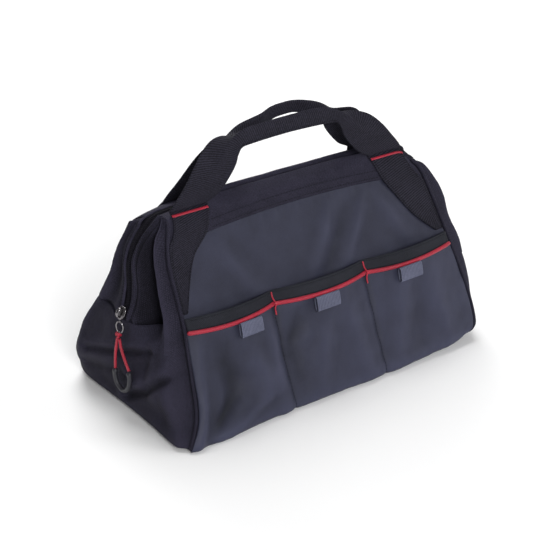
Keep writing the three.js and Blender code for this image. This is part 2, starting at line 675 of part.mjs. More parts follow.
// The slider: a plate with tapered shoulders and a bridge with an eye for the ring.
function makeSlider() {
  const half = SLIDER.width / 2;
  const tail = SLIDER.tailWidth / 2;
  const end = SLIDER.length / 2;
  const plate = new THREE.Shape();
  plate.moveTo(-half, SLIDER.shoulder);
  plate.lineTo(-tail, -end);
  plate.lineTo(tail, -end);
  plate.lineTo(half, SLIDER.shoulder);
  plate.quadraticCurveTo(half, end, 0, end);
  plate.quadraticCurveTo(-half, end, -half, SLIDER.shoulder);
  const foot = BRIDGE.length / 2;
  const side = new THREE.Shape();
  side.moveTo(-foot, 0);
  side.lineTo(foot, 0);
  side.quadraticCurveTo(foot, BRIDGE.height, 0, BRIDGE.height);
  side.quadraticCurveTo(-foot, BRIDGE.height, -foot, 0);
  const hole = new THREE.Path();
  hole.absarc(BRIDGE_EYE.place, BRIDGE_EYE.height, BRIDGE_EYE.radius, 0, 2 * Math.PI);
  side.holes.push(hole);
  const bridge = extruded(side, BRIDGE.width);
  bridge.translate(0, 0, -BRIDGE.width / 2);
  bridge.rotateX(Math.PI / 2);
  bridge.rotateZ(Math.PI / 2);
  bridge.translate(0, 0, SLIDER.wall - BRIDGE.sink);
  return joined(extruded(plate, SLIDER.wall), bridge);
}

const ENDS = [{ name: "left", end: -1 }, { name: "right", end: 1 }];
for (const face of FACES) {
  addPiece(`${face.name}_panel`, makePanel(face), COATED_CLOTH);
  addPiece(`${face.name}_top_band`, makeTopBand(face), WOVEN_CLOTH);
  addPiece(`${face.name}_handle`, makeHandle(face), WEBBING);
  for (const { name, end } of ENDS) {
    addPiece(`${face.name}_${name}_piping`, makeSeamPiping(face, end), WOVEN_CLOTH);
    addPiece(`${face.name}_${name}_tack`, makeTack(face, end), RED_TRIM);
    addPiece(`${name}_end_${face.name}`, makeEndUpper(face, end), WOVEN_CLOTH);
  }
}
for (const { name, end } of ENDS) {
  addPiece(`${name}_end_lower`, makeEndLower(end), WOVEN_CLOTH);
}
addPiece("base_panel", makeBase(), WOVEN_CLOTH);

const pipingReach = POCKET_PIPING_RADIUS + 2 * GAP;
const pocketFoot = () => POCKET_FOOT;
const underPiping = (x) => pipingHeight(x) - pipingReach;
const overPiping = (x) => pipingHeight(x) + pipingReach;
const pocketCloth = makePocketCloth(POCKET_ROWS, pocketFoot, underPiping, 0, POCKET_WALL);
const pocketEdge = makePocketCloth(BINDING_ROWS, overPiping, bindingHeight, BINDING_PROUD, BINDING_WALL);
const pipingPoints = pocketPlaces(POCKET_PIPING_LOW).map((x) => {
  return onPocket(x, pipingHeight(x), POCKET_PIPING_PROUD);
});
addPiece("pocket_panel", pocketCloth, COATED_CLOTH);
addPiece("pocket_binding", pocketEdge, BINDING_TAPE);
addPiece("pocket_piping", cord(pipingPoints, POCKET_PIPING_RADIUS, POCKET_PIPING_STEPS), RED_TRIM);
addPiece("pocket_tick_left", makeTick(POCKET_DIVISIONS[0]), RED_TRIM);
addPiece("pocket_tick_right", makeTick(POCKET_DIVISIONS[1]), RED_TRIM);
PEN_LOOP_PLACES.forEach((place, k) => {
  addPiece(`pen_loop_${k + 1}`, makePenLoop(place), LOOP_WEBBING);
});

const tapeEdge = CHAIN_HALF_WIDTH + GAP;
addPiece("zip_tape_front", makeZipStrip(-ZIP_HALF_WIDTH, -tapeEdge, 1, 0, TAPE_WALL), ZIP_CLOTH);
addPiece("zip_tape_rear", makeZipStrip(tapeEdge, ZIP_HALF_WIDTH, 1, 0, TAPE_WALL), ZIP_CLOTH);
const chain = makeZipStrip(-CHAIN_HALF_WIDTH, CHAIN_HALF_WIDTH, 2, CHAIN_CROWN, CHAIN_WALL);
addPiece("zip_chain", chain, ZIP_CLOTH);

// The slider stands on the chain at the left end, with its plate along the end's slope.
const leftMiddleAt = (height) => bodyAt(height, "width") + bodyAt(height, "leftMiddle");
const { height: sliderHeight, low: sliderLow, high: sliderHigh } = SLIDER_PLACE;
const sliderStand = leftMiddleAt(sliderHeight) + CHAIN_CROWN + 2 * GAP;
const sliderFoot = new THREE.Vector3(-sliderStand, 0, sliderHeight);
const sliderRun = leftMiddleAt(sliderLow) - leftMiddleAt(sliderHigh);
const sliderUp = new THREE.Vector3(sliderRun, 0, sliderHigh - sliderLow).normalize();
const sliderOut = new THREE.Vector3(-sliderUp.z, 0, sliderUp.x);
const sliderSide = sliderUp.clone().cross(sliderOut);
const sliderFrame = new THREE.Matrix4().makeBasis(sliderSide, sliderUp, sliderOut);
sliderFrame.setPosition(sliderFoot);
addPiece("zip_slider", makeSlider().applyMatrix4(sliderFrame), DARK_METAL);

// The ring, knot, strands and grip of the pull hang beside the end.
const ring = new THREE.TorusGeometry(PULL_RING.radius, PULL_RING.wire, 6, 16);
ring.rotateY(PULL_RING.turn).translate(...PULL_RING.place);
addPiece("pull_ring", ring, DARK_METAL);
const knot = new THREE.SphereGeometry(PULL_KNOT.radius, 10, 6).translate(...PULL_KNOT.place);
addPiece("pull_knot", knot, RED_TRIM);
for (const [name, points] of Object.entries(STRAND_POINTS)) {
  addPiece(name, cord(vectors(points), PULL_CORD_RADIUS, PULL_CORD_STEPS), RED_TRIM);
}
addPiece("pull_grip", cord(vectors(GRIP_POINTS), PULL_GRIP_RADIUS, PULL_GRIP_STEPS), GRIP_RUBBER);

export default bag;
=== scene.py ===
"""Looks of a ridge-topped tool bag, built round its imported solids.

Lengths in the shape functions are millimetres, +Z up, +X along the ridge, the pocket side towards -Y.
"""

import math

import bpy
import numpy as np
from bpy.props import FloatProperty, FloatVectorProperty, PointerProperty
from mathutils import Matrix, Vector


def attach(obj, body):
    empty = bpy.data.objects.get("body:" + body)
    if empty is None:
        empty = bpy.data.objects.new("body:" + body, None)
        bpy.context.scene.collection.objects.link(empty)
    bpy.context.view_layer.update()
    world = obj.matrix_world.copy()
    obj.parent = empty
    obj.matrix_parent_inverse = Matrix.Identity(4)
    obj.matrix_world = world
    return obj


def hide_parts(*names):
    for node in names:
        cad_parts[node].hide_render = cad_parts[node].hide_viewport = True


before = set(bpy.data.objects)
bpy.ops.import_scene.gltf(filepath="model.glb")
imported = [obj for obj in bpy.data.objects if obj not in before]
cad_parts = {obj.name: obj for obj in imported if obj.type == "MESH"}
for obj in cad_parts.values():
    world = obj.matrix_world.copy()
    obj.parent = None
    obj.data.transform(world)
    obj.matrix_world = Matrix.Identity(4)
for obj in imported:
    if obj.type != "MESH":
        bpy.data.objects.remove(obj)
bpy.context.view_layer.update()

bl_info = {
    "name": "Tool bag",
    "version": (1, 0, 0),
    "blender": (4, 5, 0),
    "location": "View3D > Sidebar > Tool bag",
    "description": "Builds the cloth, webbing, zip and trim of a ridge-topped tool bag",
    "category": "Add Mesh",
}

MM = 0.001
ROOT = "root"
FRONT = -1
REAR = 1
LEFT = -1
RIGHT = 1
FACE_NAMES = {FRONT: "front", REAR: "rear"}
END_NAMES = {LEFT: "left", RIGHT: "right"}
ALONG_RIDGE = (1, 0, 0)
UPRIGHT = (0, 0, 1)
QUARTER_TURN = 0.5 * np.pi

# Rows and columns of each piece's grid, or steps along it and round it.
GRID = {
    "wall": (96, 150), "base": (40, 60), "lower_end": (80, 150), "upper_end": (96, 90), "seam": (120, 16),
    "pocket": (90, 260), "piping": (320, 16), "tick": (90, 9), "loop": (24, 48), "band": (40, 150),
    "tack": (180, 11), "zip": (260, 9), "plate": (14, 48), "bridge": (30, 14), "strand": (28, 14),
    "grip": (120, 20), "knot": (120, 12), "ring": (72, 12), "floor": (9, 9),
}
SHOULDER_ROWS = 16
BINDING_STEPS = 200
LIP_ROWS = 12
LEG_ROWS = 30
FREE_ROWS = 70
TEETH_STEPS = 1200
FINE_STEPS = 24

# The body's sections, as in the solids: half depth, half width, and how far each end stands out.
BODY = {
    "at": [0.4, 2, 6, 20, 42, 62, 80, 95, 110, 127, 146, 162, 174, 182, 187, 192.5],
    "depth": [91, 96, 98, 91.5, 81, 72.5, 64.5, 58, 51.5, 44, 36, 29, 23.5, 19, 14.6, 4.6],
    "width": [
        168, 172, 172.5, 168, 164.5, 162, 160, 158, 156.5, 154.5, 152.5, 151, 150, 148.5, 146.5, 140,
    ],
    "left_roll": [1, 6, 9, 15, 23, 19, 16, 14, 12, 10, 9, 8, 6, 3, 1.2, 0],
    "left_middle": [1, 6, 10, 16, 22, 24, 25, 24, 18, 16, 15.5, 12, 7, 1.5, -3, -9],
    "right_roll": [1, 5, 8, 16, 21, 25, 27, 28, 27, 25, 22, 15, 8, 3, 1.2, 0],
    "right_middle": [1, 6, 9, 16, 22, 26, 28, 29, 26, 23, 19, 13, 8, 2, -3, -9],
}
# How deep the pleat between the zip and the roll is, on the front and rear half of an end.
PLEAT = {
    "at": [0, 45, 84, 94, 130, 160, 187],
    "front": [0, 1, 3, 12, 15, 9, 0],
    "rear": [0, 0, 1, 5, 7, 4, 0],
}
# How the standing bag has settled out of square: each row pushes what lies round its centre.
SETTLING = [
    {"centre": [-172, -97, 0], "push": [-5, -3, 0], "reach": [44, 48, 18]},
    {"centre": [172, -97, 0], "push": [-3.5, 2, 0], "reach": [44, 48, 18]},
    {"centre": [174, -98, 0], "push": [-7, 3, 3], "reach": [15, 17, 11]},
    {"centre": [171, -94, 0], "push": [0, 0, 4.5], "reach": [70, 30, 16]},
    {"centre": [171, 94, 0], "push": [0, 0, 3], "reach": [15, 17, 10]},
    {"centre": [-174, 98, 0], "push": [6, -4, 6], "reach": [15, 17, 14]},
    {"centre": [-162, 20, 145], "push": [-6, 0, 0], "reach": [40, 40, 34]},
    {"centre": [-185, 62, 75], "push": [-6, 3, 0], "reach": [35, 30, 36]},
    {"centre": [182, -40, 113], "push": [-3.8, 0, 0], "reach": [15, 30, 15]},
    {"centre": [190, -60, 62], "push": [2.5, 0, 0], "reach": [20, 40, 25]},
    {"centre": [149, -16, 186], "push": [-2, 0, -9], "reach": [11, 14, 18]},
    {"centre": [-149, -17, 181], "push": [8, 0, 0], "reach": [11, 16, 24]},
]
FLOOR_GAP = 0.02
# How the left front seam is pushed out of square, with the share of that up its height.
SEAM_PUSH = [4, -4, 0]
SEAM_REACH = 60
SEAM_SHARE = {"at": [0, 6, 32, 60, 105, 150, 192], "share": [0, 0.12, 0.95, 1, 1, 0.35, 0]}
# How far the right front seam leans out of the end's roll, and how fast that fades to each side.
RIGHT_SEAM = {
    "at": [0, 5, 20, 42, 62, 95, 127, 162, 185],
    "out": [0, 1, 6, 9.5, 9.5, 8, 5.5, 1.5, 0],
}
RIGHT_SEAM_REACH = {"inwards": 26.0, "outwards": 14.0, "behind": 22.0}
# How far the cord of each side seam stands past the body's corner, how far in from the wall it lies, and
# how high it starts and how far under the ridge it stops.
SEAM_OUT = {(FRONT, LEFT): -0.4, (FRONT, RIGHT): 3.0, (REAR, LEFT): 0.6, (REAR, RIGHT): 0.6}
SEAM_IN = 0.2
SEAM_FOOT = 2.4
SEAM_SHORT = 0.6
PIPING_RADIUS = 2.0

# Shares of each form across half an end, from the zip to the seam.
STATIONS = {
    "at": [0, 0.14, 0.34, 0.52, 0.7, 0.83, 0.94, 1],
    "roll": [0, 0.06, 0.3, 0.55, 0.87, 1, 0.78, 0],
    "middle": [1, 0.94, 0.7, 0.45, 0.13, 0, 0, 0],
    "pleat": [0, 0.25, 0.85, 1, 0.45, 0, 0, 0],
}
# The same beside the zip on the upper front half, where a deep recess lies between the zip and the roll.
RECESS_STATIONS = {
    "at": [0, 0.1, 0.2, 0.32, 0.5, 0.62, 0.72, 0.83, 0.94, 1],
    "roll": [0, 0, 0, 0, 0, 0.12, 0.74, 1, 0.85, 0],
    "middle": [1, 0.96, 0.6, 0.14, 0, 0, 0, 0, 0, 0],
    "recess": [0, 0, 0.2, 0.5, 0.85, 1, 0.4, 0, 0, 0],
}
RECESS = {"at": [80, 93, 130, 160, 178, 187], "depth": [9, 18, 22, 17, 6, 0]}
RIDGE = 192.5
PANEL_PUFF = 3.0
SLOPE_STEP = 0.5
END_DROP = {FRONT: 7.0, REAR: 17.0}
SEAM_STEP = 1.2
SEAM_ALLOWANCE = 3.8
SEAM_EASE = 3.0
# The shelf seam across an end: its height, how far the lower cloth laps over it and rises towards the front,
# and how the upper cloth is tucked behind it.
SHELF = 93.0
SHELF_LAP = 0.2
SHELF_RISE = 4.5
SHELF_RISE_SPAN = (0.3, 0.8)
TUCK = {"below": 14.0, "deep": 2.4, "less": 1.6, "across": (0.62, 0.78), "height": 6.0}
# The upper cloth at the ridge: its least width, where its shoulder ends along the ridge, and its crown.
UPPER_LEAST = 2.0
SHOULDER = {"above": 1.0, "at": 140.0, "spread": 4.0, "drop": 0.3, "crown": 1.2}
# Where the recess gets painted shade, and how much painted light the pocket cloth gets over all, towards the
# right end and on its folds: below nought it gets more.
RECESS_PAINTED_SHADE = {"share": 0.45, "inner": (0.1, 0.17), "outer": (0.66, 0.76), "height": (160, 188)}
POCKET_PAINTED_LIGHT = {"all": -0.05, "across": -0.09, "folds": -0.02}

# Thickness of the cloths, how far their edges stop short, and how closely their rows lie at the hem.
WALL = 1.6
END_THICKNESS = 1.6
POCKET_THICKNESS = 1.2
BAND_THICKNESS = 0.9
TAPE_THICKNESS = 0.8
BASE = {"top": 2.2, "thickness": 2.1, "at": 0.4}
RIM = 0.4
HEM = 0.6
POCKET_HEM = 1.0
WALL_SHORT = 0.6
BAND_SHORT = 0.8
END_SHORT = 1.0
END_CROWDING = 1.15
POCKET_CROWDING = 1.1
# The lift that a leaning wall gives to its outward direction, and to that of its stitches.
WALL_LIFT = 0.3
STITCH_LIFT = 0.43
# Painted shade in folds and painted light on ridges: how far round a point a fold is judged, from how deep to
# how proud it runs, and its middle.
PAINTED_SHADE_REACH = 9.0
PAINTED_SHADE_HEIGHT = 12.0
EVEN_PAINTED_SHADE = 0.5

# The zip: the cloth's edge beside it with a lip and a groove, its middle line, tape, teeth and slider.
ZIP_EDGE = 9.3
ZIP_LIP = 4.0
ZIP_HEM = [{"out": 2.3, "at": 1.7, "spread": 1.8}, {"out": -0.9, "at": 5.2, "spread": 1.4}]
ZIP_CLIMB = [95.4, 103, 112, 127, 146, 160, 170, 178, 184]
ZIP_RIDGE = 187.0
ZIP_RIDGE_PLACES = [-128, -64, 0, 64, 128]
ZIP_TAPE = {"from": 1.2, "under": 4.0, "out": 0.2, "sink": 1.5, "sink_span": (3.0, 7.0)}
TOOTH_PITCH = 1.7
TOOTH_SHIFT = {FRONT: 0.25, REAR: 0.75}
TOOTH = {
    "sides": 6, "steps": 7, "middle": 1.0, "reach": 1.7, "half": 0.5, "swell": 1.15, "narrow": 0.25,
    "thick": 0.45, "height": 1.0, "bow": 0.55,
}
SLIDER = {
    "heights": [95.0, 99.0, 103.0], "out": 1.4, "half": 5.0, "narrow": 1.3, "half_length": 6.5, "thick": 3.0,
    "rim": 0.35, "rim_span": (0.02, 0.98), "square": 0.7, "square_length": 0.75,
}
BRIDGE = {
    "half_length": 4.2, "foot": 2.7, "rise": 3.6, "arch": 0.8, "radius": 1.0, "stretch": [1.7, 1.0, 1.0],
}

# The pockets.
DIVISIONS = [-57.0, 53.0]
POCKET_FOOT = 10.0
POCKET_BULGE = 12.0
POCKET_SWELL = 1.6
POCKET_OFF = 1.9
POCKET_LEVEL = 50.0
POCKET_UNDER = 0.8
POCKET_SHORT = 0.8
PINCH = {"depth": 1.5, "reach": 2.6}
FULL_CORNER = {"out": 2.0, "at": -140, "reach": 44, "height": 16}
PIPING_LOW = 92.3
PIPING_RISE = 3.3
PIPING_OUT = 0.8
POCKET_PIPING_RADIUS = 2.0
BINDING_LOW = 105.3
BINDING_RISE = 1.6
BINDING_GAP = 0.6
# The binding's tape, folded over the edge: how far up and how far out each point of its loop lies.
BINDING_LOOP = {
    "rise": [0, 0.12, 0.3, 0.5, 0.7, 0.88, 0.97, 1.03, 1.0, 0.9, 0.6, 0.3, 0.1, 0.02],
    "out": [0.5, 0.75, 0.8, 0.8, 0.85, 0.9, 0.75, 0.0, -0.9, -1.3, -1.4, -1.4, -1.3, -0.6],
}
TICK = {"from": 86, "to": 105.5, "half": 0.8, "out": 1.4, "climb": 3.4, "spread": 3.2, "thread": 0.12}
LOOP_PLACES = [-93.0, -4.0, 100.0]
LOOP = {
    "width": 27.0, "height": 13.0, "depth": 5.2, "middle": 84.4, "wall": 1.1, "off": 0.5,
    "square_up": 0.5, "square_out": 0.7,
}

# The handles.
LEG_TOP = {FRONT: 188.5, REAR: 185.0}
LEG = {
    "at": [110, 131, 154, 169, 190],
    "left": [151, 140, 125, 106, 94],
    "right": [147, 128, 112, 102, 94],
}
LEG_WIDTH = 41.0
LEG_FOOT = 111.0
LEG_CLEAR = 1.5
LEG_HUG = {"low": 0.5, "more": 0.7, "rise": (150, 188)}
LEG_RELIEF = {"end": 192, "fade": 14}
LEAN_SHIFT = {FRONT: 0.0, REAR: 17.0}
LEAN_SAG = {FRONT: 0.0, REAR: 5.0}
LEAN_SPAN = (-60, 60)
LEAN_RISE = (130, 192)
SAG_RISE = (185, 222)
HANDLE = {
    "at": [0, 1, 2, 3, 4, 5, 6, 7, 8],
    "inner_x": [93.5, 82, 71, 63.5, 60, 55, 43, 22, 0],
    "inner_z": [193, 199, 210, 220, 229, 235, 236.5, 237.5, 238],
    "fold_x": [114.2, 102.5, 91, 80.5, 71, 59, 44, 22, 0],
    "fold_z": [193.5, 203, 216, 229, 241, 249.5, 253, 255, 255.5],
    "fold": [0, 0, 4, 22, 65, 125, 168, 180, 180],
    "depth": [15.6, 15.5, 15, 14.6, 14.3, 14, 14, 14, 14],
    "drop": [0, 0, 0.5, 2, 4.5, 4.5, 2, 0.5, 0],
}
STRAP = 1.8
FOLD_SPACING = 4.2
FOLD_CURL = 0.68
FOLD_ROUND = (-0.18, 0.18)
FLAT_STATIONS = np.linspace(0.2, 1, 12)
ROUND_STATIONS = np.linspace(-0.16, 0.16, 13)
# Where the two grips part a little, and by how much.
GRIP_PART = {FRONT: -12.0, REAR: 9.0}
PART = {"reach": 30.0, "rise": (225, 236), "back": 7.0, "up": 6.0, "down": 1.6}
# The bar tacks at the ridge: their height, how far inside their strap's edges they lie, and their shape.
TACK_AT = {FRONT: 186.2, REAR: 182.6}
TACK_SHORT = {FRONT: 0.7, REAR: 4.5}
TACK = {"inside": 0.5, "out": 1.2, "half": 1.25, "thread": 0.14, "slant": 0.5}
PAD_HEIGHT = 0.5
THREAD_PITCH = 0.9
# The bands under the ridge: their lower edge, their lift and the lip that turns in over the ridge.
BAND_LOW = 169.0
BAND_RISE = 4.0
BAND_REACH = 0.7
BAND_FALL = 12.0
BAND_FALL_SPAN = (1.0, 1.4)
BAND_RELIEF = {"end": 185, "fade": 12}
BAND_OUT = 1.5
BAND_UNDER = 0.8
BAND_UNDER_SPAN = (0.96, 1.04)
LIP = {"in": 3.2, "above": 0.5, "crown": 0.35, "most": 6}

# The corded pull.
RING_PLACE = [-190, -7, 91]
RING = {"radius": 5.0, "wire": 0.75, "turned": 1.27, "narrow": 0.74, "drawn": 1.12}
KNOT_PLACE = [-190.6, -5.5, 82.8]
KNOT_SIZE = [-0.992, 0.72, 0.8]
KNOT_CORD = 1.15
KNOT_ASIDE = [0.01, 0.02, 0.03]
CORD_RADIUS = 1.3
STRANDS = {
    "pull_strand_rear": [[-190.8, -4, 79.2], [-191.6, -2.8, 70], [-191.8, -1.2, 58], [-191.6, -0.4, 47]],
    "pull_strand_front": [[-190.8, -7, 79.2], [-191, -9.8, 70], [-190.8, -15, 60], [-190.4, -20, 51.5]],
}
GRIP = [
    [-191.6, -0.2, 46.4], [-191.8, 0, 40], [-191.6, -2.6, 32], [-190.6, -10, 27.4],
    [-190.6, -18, 32], [-190.6, -21.2, 42], [-190.4, -20.3, 50.9],
]
GRIP_ROD = {
    "radius": 2.15, "collar": 0.3, "collar_at": 0.9, "collar_spread": 0.06, "wave": 0.08, "waves": 3,
}
CAP_END = 0.97

# The stitches: the shape of one, and where their rows lie.
STITCH = {
    "sides": 6, "along": [-1, -0.72, 0, 0.72, 1.0], "half": 0.39, "blunt": 0.02, "bow": 1.1, "sunk": 0.5,
}
STITCH_OUT = 0.1
DIVISION_STITCHES = {"from": 3, "to": 84, "steps": 200}
BINDING_STITCHES = {"half": 152, "steps": 500, "shares": (0.16, 0.86), "out": 0.95}
BAND_STITCHES = {"reach": 0.66, "steps": 300, "up": (2.2, 8.0), "out": 0.05}
ZIP_STITCHES = {"short": 2, "steps": 200, "off": (2.4, 5.0), "lift": 0.2}
LEG_STITCHES = {"edges": [-0.88, 0.88], "leg_rows": 28, "grip_from": 70}

# Soft folds of the front: where each one runs, how far it stands out and how wide it is.
FOLD_RISE = [0, 25, 60, 90]
POCKET_FOLDS = [
    {"at": [0, 5, 30, 61, 85, 96], "place": [-165, -164.5, -160, -155.5, -151, -149],
     "size": [0.5, 2.4, 4.4, 3.2, 1.5, 0.3], "spread": [5, 6, 6.5, 7, 7, 6]},
    {"at": [0, 5, 14, 31, 45, 66, 90], "place": [-155, -152, -143, -126, -121, -126, -130],
     "size": [-0.3, -1.2, -3.2, -6.2, -6.6, -4.2, 0], "spread": [5, 7, 10, 12, 13, 13, 12]},
    {"at": [0, 4, 14, 23, 39, 54, 80], "place": [-140, -131, -105, -86, -84, -92, -96],
     "size": [0.3, 1.2, 3.0, 4.6, 5.2, 4.2, 0], "spread": [10, 12, 14, 15, 16, 15, 14]},
    {"at": [0, 24, 63, 88], "place": [-68, -68, -68, -67],
     "size": [0.5, 2.0, 2.6, 0.4], "spread": [7, 7, 7, 7]},
    {"at": [0, 30, 57, 71, 90], "place": [-50, -48, -47, -39, -34],
     "size": [0, -2.4, -4.2, -4.0, 0], "spread": [8, 9, 10, 11, 12]},
    {"at": [0, 20, 50, 78], "place": [-30, -24, -14, -6],
     "size": [0, 2.8, 3.2, 0], "spread": [12, 12, 12, 12]},
    {"at": FOLD_RISE, "place": [36, 30, 27, 24], "size": [0.5, 3.0, 3.0, 0], "spread": [12, 13, 14, 14]},
    {"at": FOLD_RISE, "place": [72, 76, 84, 90], "size": [0.5, 2.5, 2.1, 0], "spread": [10, 11, 12, 12]},
    {"at": FOLD_RISE, "place": [104, 104, 107, 110], "size": [0, -2.1, -2.0, 0], "spread": [11, 11, 11, 11]},
    {"at": FOLD_RISE, "place": [140, 136, 130, 126], "size": [0.5, 2.5, 2.3, 0], "spread": [11, 11, 12, 12]},
]
POCKET_HOLD = {"above": 3, "fade": 10}
POCKET_DRAG = 0.7
POCKET_FINE_RISE = (0, 10)
POCKET_SEAM_DRAG = 0.5
WALL_RISE = [98, 120, 145, 168]
WALL_FOLDS = [
    {"at": WALL_RISE, "place": [-70, -78, -92, -100], "size": [0, 1.6, 1.6, 0], "spread": [12, 12, 11, 10]},
    {"at": WALL_RISE, "place": [-6, 6, 22, 34], "size": [0, 1.6, 1.8, 0], "spread": [9, 9, 9, 9]},
    {"at": WALL_RISE, "place": [12, 26, 44, 56], "size": [0, -1.2, -1.4, 0], "spread": [7, 8, 8, 8]},
    {"at": WALL_RISE, "place": [32, 46, 64, 78], "size": [0, 1.6, 1.8, 0], "spread": [9, 9, 9, 9]},
    {"at": WALL_RISE, "place": [120, 112, 98, 88], "size": [0, 1.2, 1.4, 0], "spread": [9, 10, 10, 9]},
]
WALL_FOLD_SCALE = 1.8
# How far the front wall lies back behind the pockets, and up to where.
POCKET_ROOM = 4.5
POCKET_ROOM_TOP = (62, 98)
LEAST_FOLDS = 0.1
REAR_DRAG = 0.4
REAR_HEM = (4, 30)
# Creases of the left end, in depth and height across it, and the ridge beside each of them.
END_CREASES = [
    {"line": [[52, 44], [11, 58], [-37, 75]], "depth": 2.9, "spread": 3.6},
    {"line": [[-4, 16], [-35, 34], [-54, 52], [-68, 63]], "depth": 4.8, "spread": 4.5},
    {"line": [[60, 24], [30, 33], [0, 40]], "depth": 2.4, "spread": 6.0},
    {"line": [[-30, 94], [-33, 72], [-38, 46]], "depth": 1.8, "spread": 5.5},
]
CREASE_RIDGE = {"off": 1.9, "spread": 1.5, "height": 0.55}
END_SEAM_HOLD = (0, 12)
END_HEM_HOLD = (2, 16)
# Unevenness of the cloths and ripples of the seams: size, length or reach, and the seed of the waves.
UNEVEN = {
    "wall": {"size": 0.5, "length": 70, "seed": 11},
    "rear_wall": {"size": 1.2, "length": 95, "seed": 41},
    "pocket": {"size": 0.35, "length": 46, "seed": 61},
    "pocket_fine": {"size": 0.3, "length": 17, "seed": 62},
    "end": {"size": 1.0, "length": 62, "seed": 71},
    "end_fine": {"size": 0.5, "length": 24, "seed": 73},
    "binding": {"size": 0.25, "length": 13, "seed": 81},
    "band": {"size": 0.2, "length": 20, "seed": 91},
}
PUCKERS = {
    "wall_seam": {"size": 0.45, "reach": 9, "seed": 21},
    "wall_band": {"size": 0.35, "reach": 8, "seed": 31},
    "division": {"size": 0.3, "reach": 6, "seed": 51},
    "pocket_foot": {"size": 0.2, "reach": 9, "seed": 63},
    "pocket_seam": {"size": 0.12, "reach": 8, "seed": 64},
    "end_seam": {"size": 0.6, "reach": 8, "seed": 75},
    "end_shelf": {"size": 0.5, "reach": 7, "seed": 77},
}
PUCKER_LENGTH = 9.0
PUCKER_DRAG = 0.15
WAVES = 9
WAVE_SPAN = (0.6, 1.7)

# The finishes: the slot and colour of each, and its weave or else its plain surface.
FINISHES = {
    # Coated and woven cloth take more painted shade in folds and painted light on ridges than the rest.
    "coated_cloth": {
        "slot": "coated_cloth", "colour": "coated_cloth", "pattern": "thread_weave", "pitch": 0.8,
        "relief": 0.04, "roughness": 0.58, "contrast": 0.25, "gloss": 0.24, "painted_shading": 1.5,
    },
    "woven_cloth": {
        "slot": "woven_cloth", "colour": "woven_cloth", "pattern": "thread_weave", "pitch": 1.0,
        "relief": 0.24, "roughness": 0.8, "contrast": 0.75, "gloss": 0.14, "grain": 1.5, "painted_shading": 1.25,
    },
    "strap_webbing": {
        "slot": "webbing", "colour": "webbing", "pattern": "webbing_ribs", "pitch": 2.2, "slant": 0.35,
        "relief": 0.4, "roughness": 0.75, "contrast": 1.1, "gloss": 0.14, "grain": 1.6,
    },
    "loop_webbing": {
        "slot": "loop_webbing", "colour": "loop_webbing", "pattern": "webbing_ribs", "pitch": 1.7,
        "slant": 0.0, "relief": 0.2, "roughness": 0.72, "contrast": 0.7, "gloss": 0.2,
    },
    "binding_tape": {
        "slot": "binding_tape", "colour": "binding_tape", "pattern": "webbing_ribs", "pitch": 1.5,
        "slant": 0.5, "relief": 0.15, "roughness": 0.75, "contrast": 0.6, "gloss": 0.16,
    },
    "red_trim": {
        "slot": "red_trim", "colour": "red_trim", "pattern": "thread_weave", "pitch": 0.8,
        "relief": 0.12, "roughness": 0.42, "contrast": 0.4, "gloss": 0.4,
    },
    "zip_tape": {
        "slot": "zip_cloth", "colour": "zip_cloth", "pattern": "webbing_ribs", "pitch": 1.3, "slant": 0.2,
        "relief": 0.15, "roughness": 0.75, "contrast": 0.7, "gloss": 0.15,
    },
    "dark_metal": {
        "slot": "dark_metal", "colour": "dark_metal", "roughness": 0.22, "metallic": 1.0, "spread": 0.08,
        "relief": 0.01, "gloss": 0.5,
    },
    "grip_rubber": {
        "slot": "grip_rubber", "colour": "grip_rubber", "roughness": 0.5, "metallic": 0.0, "spread": 0.08,
        "relief": 0.05, "gloss": 0.5,
    },
    "zip_coil": {
        "slot": "zip_cloth", "colour": "zip_cloth", "roughness": 0.7, "metallic": 0.0, "spread": 0.08,
        "relief": 0.02, "gloss": 0.12,
    },
    "dark_thread": {
        "slot": "zip_cloth", "colour": "thread", "roughness": 0.75, "metallic": 0.0, "spread": 0.05,
        "relief": 0.02, "gloss": 0.15,
    },
}
# Cloudiness and grain on cloth and on plain surfaces, in waves to the metre.
CLOTH_MOTTLE = {"Size": 38.0, "Grain": 850.0}
PLAIN_MOTTLE = {"Size": 160.0, "Grain": 1500.0}
NOISE = {"Detail": 3.0, "Roughness": 0.55}
# The middle of a factor and of the weave's shade, and how strongly cloudiness, grain and the painted shade and
# light of folds are taken.
HALF = 0.5
SHADE_MIDDLE = 0.6
CLOUD_SHARE = 0.5
GRAIN_SHARE = 1.0
PAINTED_SHADE_SHARE = 0.5
GRAIN_HEIGHT = 0.5
CLOTH_TINTS = (0.3, 1.7)
PLAIN_TINTS = (0.8, 1.2)
ROUGHNESS_SPREAD = 0.06
CLOTH_BUMP = 0.8
PLAIN_BUMP = 0.5
# How sharply one thread of the weave goes over another, and its share of the painted shade that darkens the
# threads lying under.
OVER_SHARPNESS = 5.0
OVER_SHADE = 0.35
HEIGHT_SHADE = 0.65
# The fine threads along a ribbed web.
RIB_THREADS = 1.9
RIB_CUT = 0.35
RIB_UNCUT = 0.65
RIB_SHADE = 0.8

# The stage, in metres.
CAMERA = {"sensor": 36.0, "far": 50.0}
FLOOR = {"half": 9.0, "white": 0.96, "roughness": 0.9, "gloss": 0.1, "plain": (0.6, 2.0)}
SURROUND = {"light": 0.2, "seen": 1.0}
LAMPS = {
    "key_lamp": {"place": (-1.0, -2.4, 1.3), "size": 1.0, "power": 46.0},
    "fill_lamp": {"place": (1.9, -1.7, 1.1), "size": 1.4, "power": 20.0},
    "top_lamp": {"place": (0.3, 0.9, 2.3), "size": 1.6, "power": 36.0},
    "back_lamp": {"place": (1.0, 2.8, 2.0), "size": 1.8, "power": 36.0},
}
LAMP_AIM = (0, 0, 0.1)


